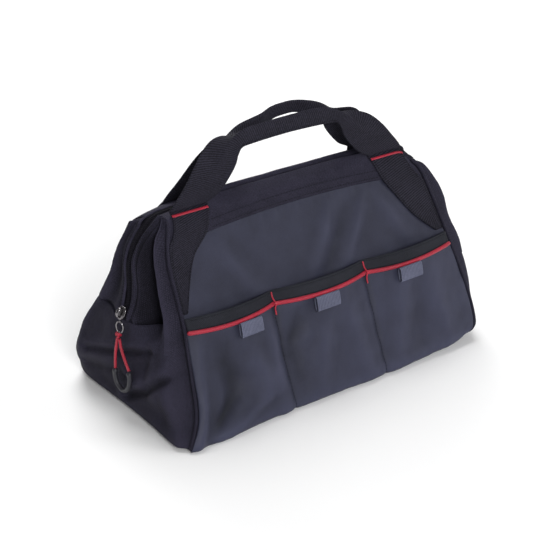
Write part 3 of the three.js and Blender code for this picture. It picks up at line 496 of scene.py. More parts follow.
def through(rows, at, column):
    """A column of a table on smooth curves: each span is its chord plus t(1 - t) times a bend that
    gives both of its ends the slope of the line past them."""
    place = np.asarray(rows["at"], float)
    value = np.asarray(rows[column], float)
    query = np.asarray(at, float)
    high = np.clip(np.searchsorted(place, query), 1, len(place) - 1)
    low = high - 1
    before = np.maximum(low - 1, 0)
    after = np.minimum(high + 1, len(place) - 1)
    span = place[high] - place[low]
    t = np.clip((query - place[low]) / span, 0.0, 1.0)
    rise = value[high] - value[low]
    slope_in = (value[high] - value[before]) / (place[high] - place[before])
    slope_out = (value[after] - value[low]) / (place[after] - place[low])
    bend = (1 - t) * (slope_in * span - rise) - t * (slope_out * span - rise)
    return value[low] + rise * t + t * (1 - t) * bend


def smooth(value, low, high):
    """The cubic step 3t^2 - 2t^3 from low to high."""
    t = np.clip((np.asarray(value, float) - low) / (high - low), 0.0, 1.0)
    return t * t * (3.0 - 2.0 * t)


def bell(off):
    """A bell: e to the power of minus the square of a distance."""
    return np.exp(-(np.asarray(off, float) ** 2))


def squarer(wave, power):
    """A wave with squarer corners: its size to a power, with its sign kept."""
    return np.sign(wave) * np.abs(wave) ** power


def once_round(count):
    """Even angles once round."""
    return np.linspace(0, 2 * np.pi, count, endpoint=False)


def fine_ends(count):
    """Shares from 0 to 1, closer together at both ends."""
    share = np.linspace(0, 1, count)
    return 0.5 - 0.5 * np.cos(np.pi * share)


def unit(vectors):
    """Vectors scaled to length one."""
    return vectors / np.maximum(np.linalg.norm(vectors, axis=-1, keepdims=True), 1e-9)


def path_run(path):
    """Length along a path up to each of its points."""
    return np.concatenate([[0.0], np.cumsum(np.linalg.norm(np.diff(path, axis=0), axis=1))])


def at_lengths(lengths, run, values):
    """Values given along a path, on straight lines between its points, at lengths along it."""
    return np.stack([np.interp(lengths, run, values[:, axis]) for axis in range(3)], axis=1)


def along_path(path, shares):
    """Points of a path at shares of its length."""
    run = path_run(path)
    return at_lengths(shares * run[-1], run, path)


def smooth_path(points, count):
    """Evenly spaced points on a centripetal Catmull-Rom curve, worked out with Barry and Goldman's
    pyramid of straight blends between knots spaced by the root of each chord."""
    p = np.asarray(points, float)
    p = np.vstack([2 * p[0] - p[1], p, 2 * p[-1] - p[-2]])
    chords = np.linalg.norm(np.diff(p, axis=0), axis=1)
    knots = np.concatenate([[0.0], np.cumsum(np.sqrt(chords))])
    fine = np.linspace(knots[1], knots[-2], FINE_STEPS * len(points))
    k = np.clip(np.searchsorted(knots, fine, side="right") - 1, 1, len(p) - 3)

    def blend(a, b, i, j):
        share = ((fine - knots[i]) / (knots[j] - knots[i]))[:, None]
        return a * (1 - share) + b * share

    first = [blend(p[k + d - 1], p[k + d], k + d - 1, k + d) for d in range(3)]
    second = [blend(first[d], first[d + 1], k + d - 1, k + d + 1) for d in range(2)]
    curve = blend(second[0], second[1], k, k + 1)
    run = path_run(curve)
    return at_lengths(np.linspace(0.0, run[-1], count), run, curve)


def unevenness(a, b, length, seed):
    """Soft waves between about -1 and 1: twice the mean of some sines of fixed random directions, phases
    and lengths."""
    rng = np.random.default_rng(seed)
    turn = rng.uniform(0, 2 * np.pi, WAVES)
    phase = rng.uniform(0, 2 * np.pi, WAVES)
    wave = length * rng.uniform(*WAVE_SPAN, WAVES)
    a, b = np.broadcast_arrays(np.asarray(a, float), np.asarray(b, float))
    travel = a[..., None] * np.cos(turn) + b[..., None] * np.sin(turn)
    return 2.0 * np.sin(2 * np.pi * travel / wave + phase).mean(axis=-1)


def uneven(cloth, a, b, other=0):
    """Unevenness of a cloth, in millimetres; another number gives other waves of the same kind."""
    row = UNEVEN[cloth]
    return row["size"] * unevenness(a, b, row["length"], row["seed"] + other)


def pucker(seam, along, away, other=0):
    """Small ripples across a sewn seam, in millimetres: waves along it that fade with the distance."""
    row = PUCKERS[seam]
    waves = unevenness(along, PUCKER_DRAG * np.asarray(away), PUCKER_LENGTH, row["seed"] + other)
    return row["size"] * (waves * np.exp(-np.abs(away) / row["reach"]))


def folds_at(folds, x, z):
    """The sum of folds: bells across the place, with the height, place and spread of each from its table."""
    total = np.zeros(np.broadcast(x, z).shape)
    for fold in folds:
        off = (x - through(fold, z, "place")) / through(fold, z, "spread")
        total = total + through(fold, z, "size") * bell(off)
    return total


def crease_at(crease, a, b):
    """A crease along a line of points: a bell-shaped groove by the distance to the nearest stretch of the
    line, with a lower bell-shaped ridge on one side of it."""
    line = np.asarray(crease["line"], float)
    spread = crease["spread"]
    nearest = np.full(np.broadcast(a, b).shape, np.inf)
    side = np.zeros_like(nearest)
    for start, stop in zip(line[:-1], line[1:]):
        run = stop - start
        share = np.clip(((a - start[0]) * run[0] + (b - start[1]) * run[1]) / (run @ run), 0, 1)
        off_a = a - start[0] - share * run[0]
        off_b = b - start[1] - share * run[1]
        away = np.hypot(off_a, off_b)
        side = np.where(away < nearest, np.sign(run[0] * off_b - run[1] * off_a), side)
        nearest = np.minimum(nearest, away)
    off_ridge = (nearest * side + CREASE_RIDGE["off"] * spread) / (CREASE_RIDGE["spread"] * spread)
    ridge = bell(off_ridge) * (side < 0)
    return crease["depth"] * (CREASE_RIDGE["height"] * ridge - bell(nearest / spread))


def body(z, column):
    """A column of the body's sections at a height."""
    return through(BODY, z, column)


def settle(points):
    """The set of the standing bag. Bells push its corners, ends and shoulders out, in, up or down, and a bell
    round each front seam, with a share that changes up the seam, pushes that seam out of square. Nothing goes
    below the floor."""
    p = np.asarray(points, float)
    moved = p.copy()
    for row in SETTLING:
        away = np.linalg.norm((p - np.array(row["centre"])) / np.array(row["reach"], float), axis=-1)
        moved = moved + bell(away)[..., None] * np.array(row["push"])
    x, y, z = np.moveaxis(p, -1, 0)
    off_left = x + body(z, "width")
    off_right = x - body(z, "width")
    behind = y + body(z, "depth")
    near = np.exp(-((off_left / SEAM_REACH) ** 2) - (behind / SEAM_REACH) ** 2)
    moved = moved + (through(SEAM_SHARE, z, "share") * near)[..., None] * np.array(SEAM_PUSH)
    reach = np.where(off_right < 0, RIGHT_SEAM_REACH["inwards"], RIGHT_SEAM_REACH["outwards"])
    near = np.exp(-((off_right / reach) ** 2) - (behind / RIGHT_SEAM_REACH["behind"]) ** 2)
    moved[..., 0] = moved[..., 0] + near * through(RIGHT_SEAM, z, "out")
    moved[..., 2] = np.maximum(moved[..., 2], FLOOR_GAP)
    return moved


def outward(side, lift=WALL_LIFT):
    """A direction that looks out of a leaning wall."""
    return np.array([0, side, lift])


def wall_depth(x, z):
    """Half depth of a leaning wall: the seam's depth plus a swell of its middle, a parabola across times
    half a sine wave up."""
    across = x / body(z, "width")
    return body(z, "depth") + PANEL_PUFF * np.maximum(0, 1 - across**2) * np.sin(np.pi * z / RIDGE)


def on_wall(side, x, z, out=0.0):
    """A point a distance out from a leaning wall, along its slope's normal."""
    x, z, out = np.broadcast_arrays(*(np.asarray(v, float) for v in (x, z, out)))
    fall = wall_depth(x, z - SLOPE_STEP) - wall_depth(x, z + SLOPE_STEP)
    scale = out / np.hypot(1.0, fall)
    return np.stack([x, side * (wall_depth(x, z) + scale), z + fall * scale], axis=-1)


def ridge_top(side, across):
    """The top edge of a wall, which drops with the fourth power of the distance from the middle."""
    return RIDGE - END_DROP[side] * across**4


def fading(relief, z, row):
    """A relief that fades out up to a height."""
    return relief * smooth(row["end"] - z, 0, row["fade"])


def wall_relief(side, x, z):
    """Soft folds, seam ripples and unevenness of a wall, in millimetres outwards. The front wall lies back
    behind the pockets, however deep its folds are."""
    depth = fold_depth()
    seam = body(z, "width") - np.abs(x)
    relief = uneven("wall", x, z, side) + pucker("wall_seam", z, seam, side)
    relief = relief + pucker("wall_band", x, np.abs(z - BAND_LOW), side)
    if side == FRONT:
        back = POCKET_ROOM * (1 - smooth(z, *POCKET_ROOM_TOP)) / max(depth, LEAST_FOLDS)
        relief = relief + WALL_FOLD_SCALE * folds_at(WALL_FOLDS, x, z) - back
    else:
        relief = relief + uneven("rear_wall", x, REAR_DRAG * z) * smooth(z, *REAR_HEM)
    return depth * relief


def pocket_middle(x, outer):
    """The middle and half width of the pocket that each place lies in."""
    seams = np.stack(np.broadcast_arrays(-outer, *(np.full_like(outer, d) for d in DIVISIONS), outer))
    which = sum((x > d).astype(int) for d in DIVISIONS)
    low = np.take_along_axis(seams, which[None], axis=0)[0]
    high = np.take_along_axis(seams, which[None] + 1, axis=0)[0]
    return (low + high) / 2, (high - low) / 2


def across_pocket(x, z):
    """A place across its pocket, from -1 at one seam to 1 at the other."""
    x, outer = np.broadcast_arrays(np.asarray(x, float), body(z, "width"))
    middle, half = pocket_middle(x, outer)
    return (x - middle) / half


def pocket_relief(x, z):
    """Folds of the pocket cloth, the pinch of its division seams, ripples and its full lower left corner."""
    pinch = sum(bell((x - d) / PINCH["reach"]) for d in DIVISIONS)
    ripple = sum(pucker("division", z, np.abs(x - d), k) for k, d in enumerate(DIVISIONS))
    seam = body(z, "width") - np.abs(x)
    corner = FULL_CORNER["out"] * bell((x - FULL_CORNER["at"]) / FULL_CORNER["reach"])
    corner = corner * bell(z / FULL_CORNER["height"])
    waves = uneven("pocket", x, POCKET_DRAG * z) + uneven("pocket_fine", x, z) * smooth(z, *POCKET_FINE_RISE)
    edge = pucker("pocket_foot", x, z) + pucker("pocket_seam", POCKET_SEAM_DRAG * z, seam)
    hold = smooth(PIPING_LOW + POCKET_HOLD["above"] - z, 0, POCKET_HOLD["fade"])
    soft = hold * (folds_at(POCKET_FOLDS, x, z) + waves) + edge + ripple
    return fold_depth() * soft - PINCH["depth"] * pinch + corner


def on_pocket(x, z, out=0.0, relief=True):
    """A point a distance out from the pocket cloth. The cloth stands off the wall by a parabola across each
    pocket that grows with the height to a power."""
    across = across_pocket(x, z)
    rise = np.maximum(0, (np.asarray(z, float) - POCKET_FOOT) / (BINDING_LOW - POCKET_FOOT))
    bulge = POCKET_BULGE * np.maximum(0, 1 - across**2) * rise**POCKET_SWELL
    extra = pocket_relief(x, z) if relief else 0.0
    return on_wall(FRONT, x, z, POCKET_OFF + bulge + extra + out)


def piping_height(x):
    """Height of the red piping, a parabola across each pocket."""
    return PIPING_LOW + PIPING_RISE * across_pocket(x, PIPING_LOW) ** 2


def binding_height(x):
    """Height of the bound edge, a parabola across each pocket."""
    return BINDING_LOW + BINDING_RISE * across_pocket(x, BINDING_LOW) ** 2


def end_creases(end):
    """The creases of an end: those of the left one, with their lines turned over in depth on the right."""
    turned = np.array([-end, 1.0])
    return [dict(crease, line=np.array(crease["line"]) * turned) for crease in END_CREASES]


def end_relief(end, y, z):
    """Creases, seam ripples and unevenness of a soft end, in millimetres outwards."""
    seam = body(z, "depth") - np.abs(y)
    relief = uneven("end", y, z, end) + uneven("end_fine", y, z, end)
    relief = relief + pucker("end_seam", z, seam, end) + pucker("end_shelf", y, np.abs(z - SHELF), end)
    hold = smooth(seam, *END_SEAM_HOLD) * smooth(z, *END_HEM_HOLD)
    creases = sum(crease_at(crease, y, z) for crease in end_creases(end))
    return fold_depth() * (hold * relief + creases * hold)


def zip_lip(y):
    """The cloth's edge beside the zip: a bell-shaped lip and a smaller groove along its stitches."""
    off = np.abs(y) - ZIP_LIP
    return sum(row["out"] * bell((off - row["at"]) / row["spread"]) for row in ZIP_HEM)


def end_proud(end, y, z, upper):
    """How far a soft end stands out past its seam: shares of a roll beside the seam, a middle and a pleat, or
    on an upper front half a deep recess."""
    seam = body(z, "depth") - SEAM_ALLOWANCE
    share = np.clip((np.abs(y) - ZIP_EDGE) / np.maximum(seam - ZIP_EDGE, 1.0), 0, 1)
    roll = body(z, END_NAMES[end] + "_roll")
    middle = body(z, END_NAMES[end] + "_middle")
    pleat = np.where(y < 0, through(PLEAT, z, "front"), through(PLEAT, z, "rear"))

    def stand(stations, name, depth):
        proud = through(stations, share, "roll") * roll + through(stations, share, "middle") * middle
        return proud - through(stations, share, name) * depth

    form = stand(STATIONS, "pleat", pleat)
    if upper:
        deep = stand(RECESS_STATIONS, "recess", through(RECESS, z, "depth"))
        form = np.where(y < 0, deep, form) + zip_lip(y)
    return form + SEAM_STEP * (share - smooth(np.abs(y), seam, seam + SEAM_EASE))


def on_end(end, y, z, out=0.0, upper=False):
    """A point a distance out from a soft end, along X."""
    y, z = np.broadcast_arrays(np.asarray(y, float), np.asarray(z, float))
    stand = end_proud(end, y, z, upper) + end_relief(end, y, z) + out
    return np.stack([end * (body(z, "width") + stand), y, z], axis=-1)


def lean_share(x):
    """The share of a handle's lean: all of it on the left, none on the right."""
    return 1 - smooth(x, *LEAN_SPAN)


def leg_edges(side, end, z):
    """Distances of a sewn leg's inner and outer edge from the middle; the outer one keeps off the seam."""
    edge = through(LEG, z, END_NAMES[end])
    inner = edge + end * LEAN_SHIFT[side] * lean_share(end * edge) * smooth(z, *LEAN_RISE)
    return inner, np.minimum(inner + LEG_WIDTH, body(z, "width") - LEG_CLEAR)


def band_foot(across):
    """Lower edge of a ridge band: a low arch between the legs that runs on down behind them to the seams."""
    share = np.abs(across) / BAND_REACH
    arch = BAND_LOW + BAND_RISE * np.maximum(0, 1 - share**2)
    return arch - BAND_FALL * smooth(share, *BAND_FALL_SPAN)


def band_lift(side, x, z):
    """Distance of a ridge band's face from the wall, less where the legs lie over it."""
    share = np.abs(x) / (BAND_REACH * body(z, "width"))
    soft = uneven("band", x, z, side) + fading(wall_relief(side, x, z), z, BAND_RELIEF)
    return BAND_OUT + soft - BAND_UNDER * smooth(share, *BAND_UNDER_SPAN)


def handle_half(side, end, stations):
    """Rows across half a strap: first its sewn leg on the wall, then its free webbing, whose outer half turns
    back about the fold line by the angle in the table until it lies behind the inner half."""
    share = stations[None]
    rise = np.sin(QUARTER_TURN * np.linspace(0, 1, LEG_ROWS))
    z = (LEG_FOOT + (LEG_TOP[side] - LEG_FOOT) * rise)[:, None]
    inner, outer = leg_edges(side, end, z)
    x = end * (inner + (outer - inner) * (share + 1) / 2)
    hug = LEG_HUG["low"] + LEG_HUG["more"] * smooth(z, *LEG_HUG["rise"])
    soft = fading(wall_relief(side, x, z), z, LEG_RELIEF) * (side == REAR)
    sewn = on_wall(side, x, z, hug + STRAP + soft)
    at = np.linspace(HANDLE["at"][0], HANDLE["at"][-1], FREE_ROWS)[:, None]
    column = {name: through(HANDLE, at, name) for name in HANDLE if name != "at"}
    fold_z = column["fold_z"] - column["drop"] * (end == RIGHT)
    leaf_x = column["fold_x"] - column["inner_x"]
    leaf_z = fold_z - column["inner_z"]
    angle = np.radians(np.clip(column["fold"], 0, 180))
    behind = share > 0
    turn = np.where(behind, np.cos(angle), 1.0)
    back = np.where(behind, share * np.hypot(leaf_x, leaf_z) * FOLD_CURL * np.sin(angle), 0.0)
    spread = FOLD_SPACING * angle / np.pi * smooth(share, *FOLD_ROUND)
    x = end * (column["fold_x"] + share * turn * leaf_x)
    z = fold_z + share * turn * leaf_z
    y = side * (column["depth"] + STRAP / 2 - back - spread)
    sag = LEAN_SAG[side] * lean_share(x) * smooth(z, *SAG_RISE)
    shift = LEAN_SHIFT[side] * lean_share(x) * smooth(z, *LEAN_RISE)
    part = np.exp(-(((x - GRIP_PART[side]) / PART["reach"]) ** 4)) * smooth(z, *PART["rise"])
    if side == REAR:
        y = y + PART["back"] * part
        z = z + PART["up"] * part * np.abs(share)
    else:
        z = z - PART["down"] * part * (1 - np.abs(share))
    free = np.stack([x + shift, y, z - sag], axis=-1)
    return np.concatenate([sewn, free])


def zip_line(count):
    """Even points along the zip's middle line, with the directions outward and ahead at each."""
    def climb(end):
        z = np.array(ZIP_CLIMB, float)
        x = end * (body(z, "width") + body(z, END_NAMES[end] + "_middle"))
        return np.stack([x, np.zeros_like(z), z], axis=1)

    ridge = [[x, 0, ZIP_RIDGE] for x in ZIP_RIDGE_PLACES]
    line = smooth_path(np.vstack([climb(LEFT), ridge, climb(RIGHT)[::-1]]), count)
    ahead = unit(np.gradient(line, axis=0))
    return line, np.stack([-ahead[:, 2], np.zeros(count), ahead[:, 0]], axis=1), ahead


def zip_height(x):
    """Height of the zip's middle line over a place along the ridge."""
    line = zip_line(GRID["zip"][0])[0]
    return np.interp(x, line[:, 0], line[:, 2])


def pad_height(v):
    """Height of a bar tack across it, a half ellipse."""
    return PAD_HEIGHT * np.sqrt(np.maximum(0, 1 - v * v))


def window_mean(grid, axis, reach):
    """Mean of a grid over a window along one direction, with its edge repeated past the edge: differences of
    a running sum."""
    margin = [(reach + 1, reach) if k == axis else (0, 0) for k in range(3)]
    total = np.cumsum(np.pad(grid, margin, mode="edge"), axis=axis)
    size = 2 * reach + 1
    count = total.shape[axis]
    high = np.take(total, np.arange(size, count), axis=axis)
    low = np.take(total, np.arange(count - size), axis=axis)
    return (high - low) / size


def painted_shade_of(face, normal):
    """Painted shade and light from 0, darkest, in a fold to 1, lightest, on a ridge: one half plus the
    distance, along the normal, of each point from the mean of its surroundings, over a full height."""
    mean = face
    for axis in (0, 1):
        step = np.linalg.norm(np.diff(face, axis=axis), axis=-1).mean()
        reach = max(1, int(PAINTED_SHADE_REACH / step))
        mean = window_mean(window_mean(mean, axis, reach), axis, reach)
    return np.clip(EVEN_PAINTED_SHADE + ((face - mean) * normal).sum(axis=-1) / PAINTED_SHADE_HEIGHT, 0, 1)


def run_lengths(grid, axis):
    """Mean length along one direction of a grid from its first row or column, in millimetres."""
    steps = np.linalg.norm(np.diff(grid, axis=axis), axis=-1)
    return np.concatenate([[0.0], np.cumsum(steps.mean(axis=1 - axis))])


def grid_uv(grid, columns):
    """A UV map in millimetres for the first columns of a grid."""
    u, v = np.meshgrid(run_lengths(grid, 1)[:columns], run_lengths(grid[:, :columns], 0))
    return np.stack([u, v], axis=-1).reshape(-1, 2)


def grid_quads(rows, columns, closed):
    """Corner numbers of the quads of a grid, with its last column joined to its first where it is closed."""
    spans = columns if closed else columns - 1
    j, i = np.meshgrid(np.arange(rows - 1), np.arange(spans), indexing="ij")
    near = (i + 1) % columns
    low = j * columns
    high = low + columns
    return np.stack([low + i, low + near, high + near, high + i], axis=-1).reshape(-1, 4)


def row_of_skins(steps, sides, count, first=0, turned=False):
    """Faces of small closed skins in a row, numbered on from a first point: rings joined by quads, with a cap
    on both ends of each skin."""
    quads = grid_quads(steps, sides, True)
    caps = np.array([np.arange(sides)[::-1], (steps - 1) * sides + np.arange(sides)])
    start = first + (np.arange(count) * steps * sides)[:, None, None]
    order = slice(None, None, -1) if turned else slice(None)
    faces = (quads[None] + start).reshape(-1, 4)[:, order].tolist()
    return faces + (caps[None] + start).reshape(-1, sides)[:, order].tolist()


def put_mesh(name, points, faces, uv, light_and_shade=None):
    """A mesh object from arrays: points in millimetres, which settle with the bag, faces as lists of corner
    numbers, a UV map in millimetres and the painted shade and light for each point, or else an even middle
    value."""
    mesh = bpy.data.meshes.new(name)
    mesh.from_pydata((settle(points) * MM).tolist(), [], faces)
    corner = np.empty(len(mesh.loops), np.int32)
    mesh.loops.foreach_get("vertex_index", corner)
    layer = mesh.uv_layers.new(name="Cloth")
    layer.data.foreach_set("uv", uv[corner].astype(np.float32).ravel())
    # The painted shade and light of each point, kept as an attribute.
    painted_shade = mesh.attributes.new("Wear", "FLOAT", "POINT")
    values = np.full(len(points), EVEN_PAINTED_SHADE) if light_and_shade is None else light_and_shade
    painted_shade.data.foreach_set("value", values.astype(np.float32))
    mesh.polygons.foreach_set("use_smooth", np.ones(len(mesh.polygons), bool))
    mesh.update()
    piece = bpy.data.objects.new(name, mesh)
    bpy.context.scene.collection.objects.link(piece)
    return piece


def cloth_wall(name, face, looks, thickness=WALL, closed=False, added_shade=0.0):
    """A closed sheet of cloth. Its outer face is the grid and looks the given way, its inner face lies a
    thickness behind along the normals, which are the cross product of the grid's two directions, and a
    rounded rim joins the two. Folds get painted shade and ridges painted light; added shade darkens it, or
    lightens it below nought."""
    rows, columns = face.shape[:2]
    if closed:
        wrapped = np.concatenate([face[:, -1:], face, face[:, :1]], axis=1)
        along = np.gradient(wrapped, axis=1)[:, 1:-1]
    else:
        along = np.gradient(face, axis=1)
    normal = unit(np.cross(along, np.gradient(face, axis=0)))
    turned = (normal * looks).sum() < 0
    normal = -normal if turned else normal
    back = face - thickness * normal
    j, i = np.divmod(np.arange(rows * columns), columns)
    if closed:
        loops = [np.arange(columns), (rows - 1) * columns + np.arange(columns)[::-1]]
        inside = np.clip(j, 1, rows - 2) * columns + i
    else:
        low = np.arange(columns - 1)
        right = np.arange(rows - 1) * columns + columns - 1
        high = (rows - 1) * columns + np.arange(columns - 1, 0, -1)
        left = np.arange(rows - 1, 0, -1) * columns
        loops = [np.concatenate([low, right, high, left])]
        inside = np.clip(j, 1, rows - 2) * columns + np.clip(i, 1, columns - 2)
    flat = face.reshape(-1, 3)
    behind = back.reshape(-1, 3)
    uv_face = grid_uv(face, columns)
    front = grid_quads(rows, columns, closed)
    count = rows * columns
    # Painted shade in the folds and painted light on the ridges of this sheet.
    painted_shade = np.clip(painted_shade_of(face, normal) - added_shade, 0, 1).ravel()
    points, uv, light_and_shade = [flat, behind], [uv_face, uv_face], [painted_shade, painted_shade]
    faces = [front, front[:, ::-1] + count]
    start = 2 * count
    for loop in loops:
        away = unit(flat[loop] - flat[inside[loop]])
        points.append((flat[loop] + behind[loop]) / 2 + RIM * thickness * away)
        uv.append(uv_face[loop])
        light_and_shade.append(painted_shade[loop])
        middle = start + np.arange(len(loop))
        nxt, middle_next = np.roll(loop, -1), np.roll(middle, -1)
        faces.append(np.stack([nxt, loop, middle, middle_next], axis=1))
        faces.append(np.stack([middle_next, middle, loop + count, nxt + count], axis=1))
        start += len(loop)
    quads = np.concatenate(faces)
    quads = quads[:, ::-1] if turned else quads
    return put_mesh(name, np.concatenate(points), quads.tolist(), np.concatenate(uv), np.concatenate(light_and_shade))


def signed_volume(points, faces):
    """Six times the volume inside a closed skin, negative where its faces point inwards."""
    total = 0.0
    for size in (3, 4):
        corners = np.array([f for f in faces if len(f) == size], int).reshape(-1, size)
        for k in range(1, size - 1):
            a, b, c = points[corners[:, 0]], points[corners[:, k]], points[corners[:, k + 1]]
            total += float((a * np.cross(b, c)).sum())
    return total


def loft(name, rings, closed_path=False):
    """A solid skin over rings of points carried along a path. Each end is closed by a fan round the middle of
    its ring, or the last ring joins the first."""
    count, sides = rings.shape[:2]
    points = rings.reshape(-1, 3)
    uv = grid_uv(np.concatenate([rings, rings[:, :1]], axis=1), sides)
    faces = grid_quads(count, sides, True).tolist()
    first = np.arange(sides)
    last = (count - 1) * sides + first
    first_next, last_next = np.roll(first, -1), np.roll(last, -1)
    if closed_path:
        faces += np.stack([last, last_next, first_next, first], axis=1).tolist()
    else:
        points = np.concatenate([points, np.stack([rings[0].mean(axis=0), rings[-1].mean(axis=0)])])
        uv = np.concatenate([uv, uv[[0, -1]]])
        hub = np.full(sides, count * sides)
        faces += np.stack([first_next, first, hub], axis=1).tolist()
        faces += np.stack([last, last_next, hub + 1], axis=1).tolist()
    piece = put_mesh(name, points, faces, uv)
    if signed_volume(points, faces) < 0:
        piece.data.flip_normals()
    return piece


def tube_rings(path, radius, sides, reference, cap=True):
    """Circles carried along a path, in the planes of its tangent's two normals. With caps, the radius runs in
    along a quarter circle over the last radius at each end."""
    tangent = unit(np.gradient(path, axis=0))
    first = unit(np.cross(tangent, np.broadcast_to(np.asarray(reference, float), path.shape)))
    second = np.cross(tangent, first)
    radius = np.broadcast_to(np.asarray(radius, float), (len(path),)).copy()
    if cap:
        run = path_run(path)
        near = np.clip(1 - np.minimum(run, run[-1] - run) / radius, 0, CAP_END)
        radius = radius * np.sqrt(1 - near * near)
    turn = once_round(sides)[None, :, None]
    ring = first[:, None] * np.cos(turn) + second[:, None] * np.sin(turn)
    return path[:, None] + radius[:, None, None] * ring


def thread_row(name, path, normal, pitch, thread):
    """A row of stitches. Each is a small bowed capsule: rings of a circle along X whose radius and height
    fall off as the root of 1 - s^2, set on the path with X along it and Z along the normal."""
    run = path_run(path)
    count = max(2, int(run[-1] / pitch))
    middle = (np.arange(count) + 0.5) / count * run[-1]
    place = at_lengths(middle, run, path)
    up = unit(at_lengths(middle, run, normal))
    ahead = unit(at_lengths(middle, run, unit(np.gradient(path, axis=0))))
    side = unit(np.cross(up, ahead))
    sides = STITCH["sides"]
    s = np.array(STITCH["along"])
    fall = np.sqrt(np.maximum(1 - s * s, STITCH["blunt"]))
    turn = once_round(sides)
    bow = np.repeat(thread * (STITCH["bow"] * fall - STITCH["sunk"]), sides)
    x = np.repeat(s * STITCH["half"] * pitch, sides)
    y = np.outer(fall, thread * np.cos(turn)).ravel()
    z = np.outer(fall, thread * np.sin(turn)).ravel() + bow
    points = place[:, None] + x[:, None] * ahead[:, None] + y[:, None] * side[:, None]
    points = points + z[:, None] * up[:, None]
    uv = np.tile(np.stack([x, y], axis=1), (count, 1))
    return put_mesh(name, points.reshape(-1, 3), row_of_skins(len(s), sides, count), uv)


def join_pieces(name, pieces):
    """One object from several, in their shared place."""
    first = pieces[0]
    with bpy.context.temp_override(active_object=first, object=first, selected_editable_objects=pieces):
        bpy.ops.object.join()
    first.name = name
    first.data.name = name
    return first


def finish_piece(piece, finish, *nodes):
    """Gives a piece its material and slot, lets it ride on the bag and stand for its solids."""
    piece.data.materials.clear()
    piece.data.materials.append(finish_of(finish))
    if nodes:
        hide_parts(*nodes)
    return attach(piece, ROOT)


def fold_depth():
    """The scale of all folds, from the settings."""
    return bpy.context.scene.tool_bag_shape.fold_depth


# Materials.


def set_inputs(node, values):
    """Sets a node's constants by their labels."""
    for label, value in values.items():
        node.inputs[label].default_value = value


def math_node(tree, operation, first, second=None, clamp=False):
    """A Math node's output: each operand is a socket or a number."""
    node = tree.nodes.new("ShaderNodeMath")
    node.operation = operation
    node.use_clamp = clamp
    for k, value in enumerate((first, second)):
        if isinstance(value, (int, float)):
            node.inputs[k].default_value = value
        elif value is not None:
            tree.links.new(value, node.inputs[k])
    return node.outputs[0]


def times(tree, first, second):
    """The product of two sockets or numbers."""
    return math_node(tree, "MULTIPLY", first, second)


def plus(tree, first, second, clamp=False):
    """The sum of two sockets or numbers."""
    return math_node(tree, "ADD", first, second, clamp)


def off_middle(tree, value, middle, scale):
    """A value's distance from a middle, times a scale."""
    return times(tree, math_node(tree, "SUBTRACT", value, middle), scale)


def sine(tree, value, waves=1.0):
    """The sine of a number of half turns."""
    return math_node(tree, "SINE", times(tree, value, waves * math.pi))


def new_group(name, inputs, outputs):
    """A shader group with a vector input, number inputs with their defaults, and number outputs."""
    group = bpy.data.node_groups.new(name, "ShaderNodeTree")
    group.interface.new_socket(name="Vector", in_out="INPUT", socket_type="NodeSocketVector")
    for label, default in inputs.items():
        made = group.interface.new_socket(name=label, in_out="INPUT", socket_type="NodeSocketFloat")
        made.default_value = default
    for label in outputs:
        group.interface.new_socket(name=label, in_out="OUTPUT", socket_type="NodeSocketFloat")
    return group, group.nodes.new("NodeGroupInput"), group.nodes.new("NodeGroupOutput")


def split_scaled(group, given):
    """The X and Y of a group's vector divided by its pitch."""
    parts = group.nodes.new("ShaderNodeSeparateXYZ")
    group.links.new(given.outputs["Vector"], parts.inputs[0])
    return [math_node(group, "DIVIDE", parts.outputs[k], given.outputs["Pitch"]) for k in (0, 1)]


def weave_group(name):
    """Plain weave: in a cell where the sines of both directions have one sign the thread that runs up lies on
    top, elsewhere the one that runs across, and each thread is a half sine wave wide."""
    group, given, made = new_group(name, {"Pitch": 1.0}, ("Height", "Shade"))
    wave_u, wave_v = (sine(group, part) for part in split_scaled(group, given))
    over = times(group, times(group, wave_u, wave_v), OVER_SHARPNESS)
    over = plus(group, times(group, over, HALF), HALF, clamp=True)
    warp = times(group, over, math_node(group, "ABSOLUTE", wave_u))
    under = math_node(group, "SUBTRACT", 1.0, over)
    weft = times(group, under, math_node(group, "ABSOLUTE", wave_v))
    height = plus(group, warp, weft, clamp=True)
    # Painted shade: threads lying under and the gaps between threads are darker.
    shade = plus(group, times(group, over, OVER_SHADE), times(group, height, HEIGHT_SHADE))
    group.links.new(height, made.inputs["Height"])
    group.links.new(shade, made.inputs["Shade"])
    return group


def rib_group(name):
    """Slanted ribs across a web: half sine waves of the run along the web plus a share of the place across
    it, cut by finer threads that run along it."""
    group, given, made = new_group(name, {"Pitch": 2.0, "Slant": 0.0}, ("Height", "Shade"))
    u, v = split_scaled(group, given)
    run = plus(group, times(group, u, given.outputs["Slant"]), v)
    rib = math_node(group, "ABSOLUTE", sine(group, run))
    thread = math_node(group, "ABSOLUTE", sine(group, u, RIB_THREADS))
    height = times(group, rib, plus(group, times(group, thread, RIB_CUT), RIB_UNCUT))
    group.links.new(height, made.inputs["Height"])
    # Painted shade: the grooves between the ribs are darker.
    group.links.new(math_node(group, "POWER", height, RIB_SHADE), made.inputs["Shade"])
    return group


def mottle_group(name):
    """Soft cloudiness of dyed cloth: two sizes of noise on the object's own coordinates, round one half."""
    group, given, made = new_group(name, {"Size": 40.0, "Grain": 600.0}, ("Cloud", "Grain"))
    for label, scale in (("Cloud", "Size"), ("Grain", "Grain")):
        noise = group.nodes.new("ShaderNodeTexNoise")
        set_inputs(noise, NOISE)
        group.links.new(given.outputs["Vector"], noise.inputs["Vector"])
        group.links.new(given.outputs[scale], noise.inputs["Scale"])
        group.links.new(noise.outputs["Fac"], made.inputs[label])
    return group


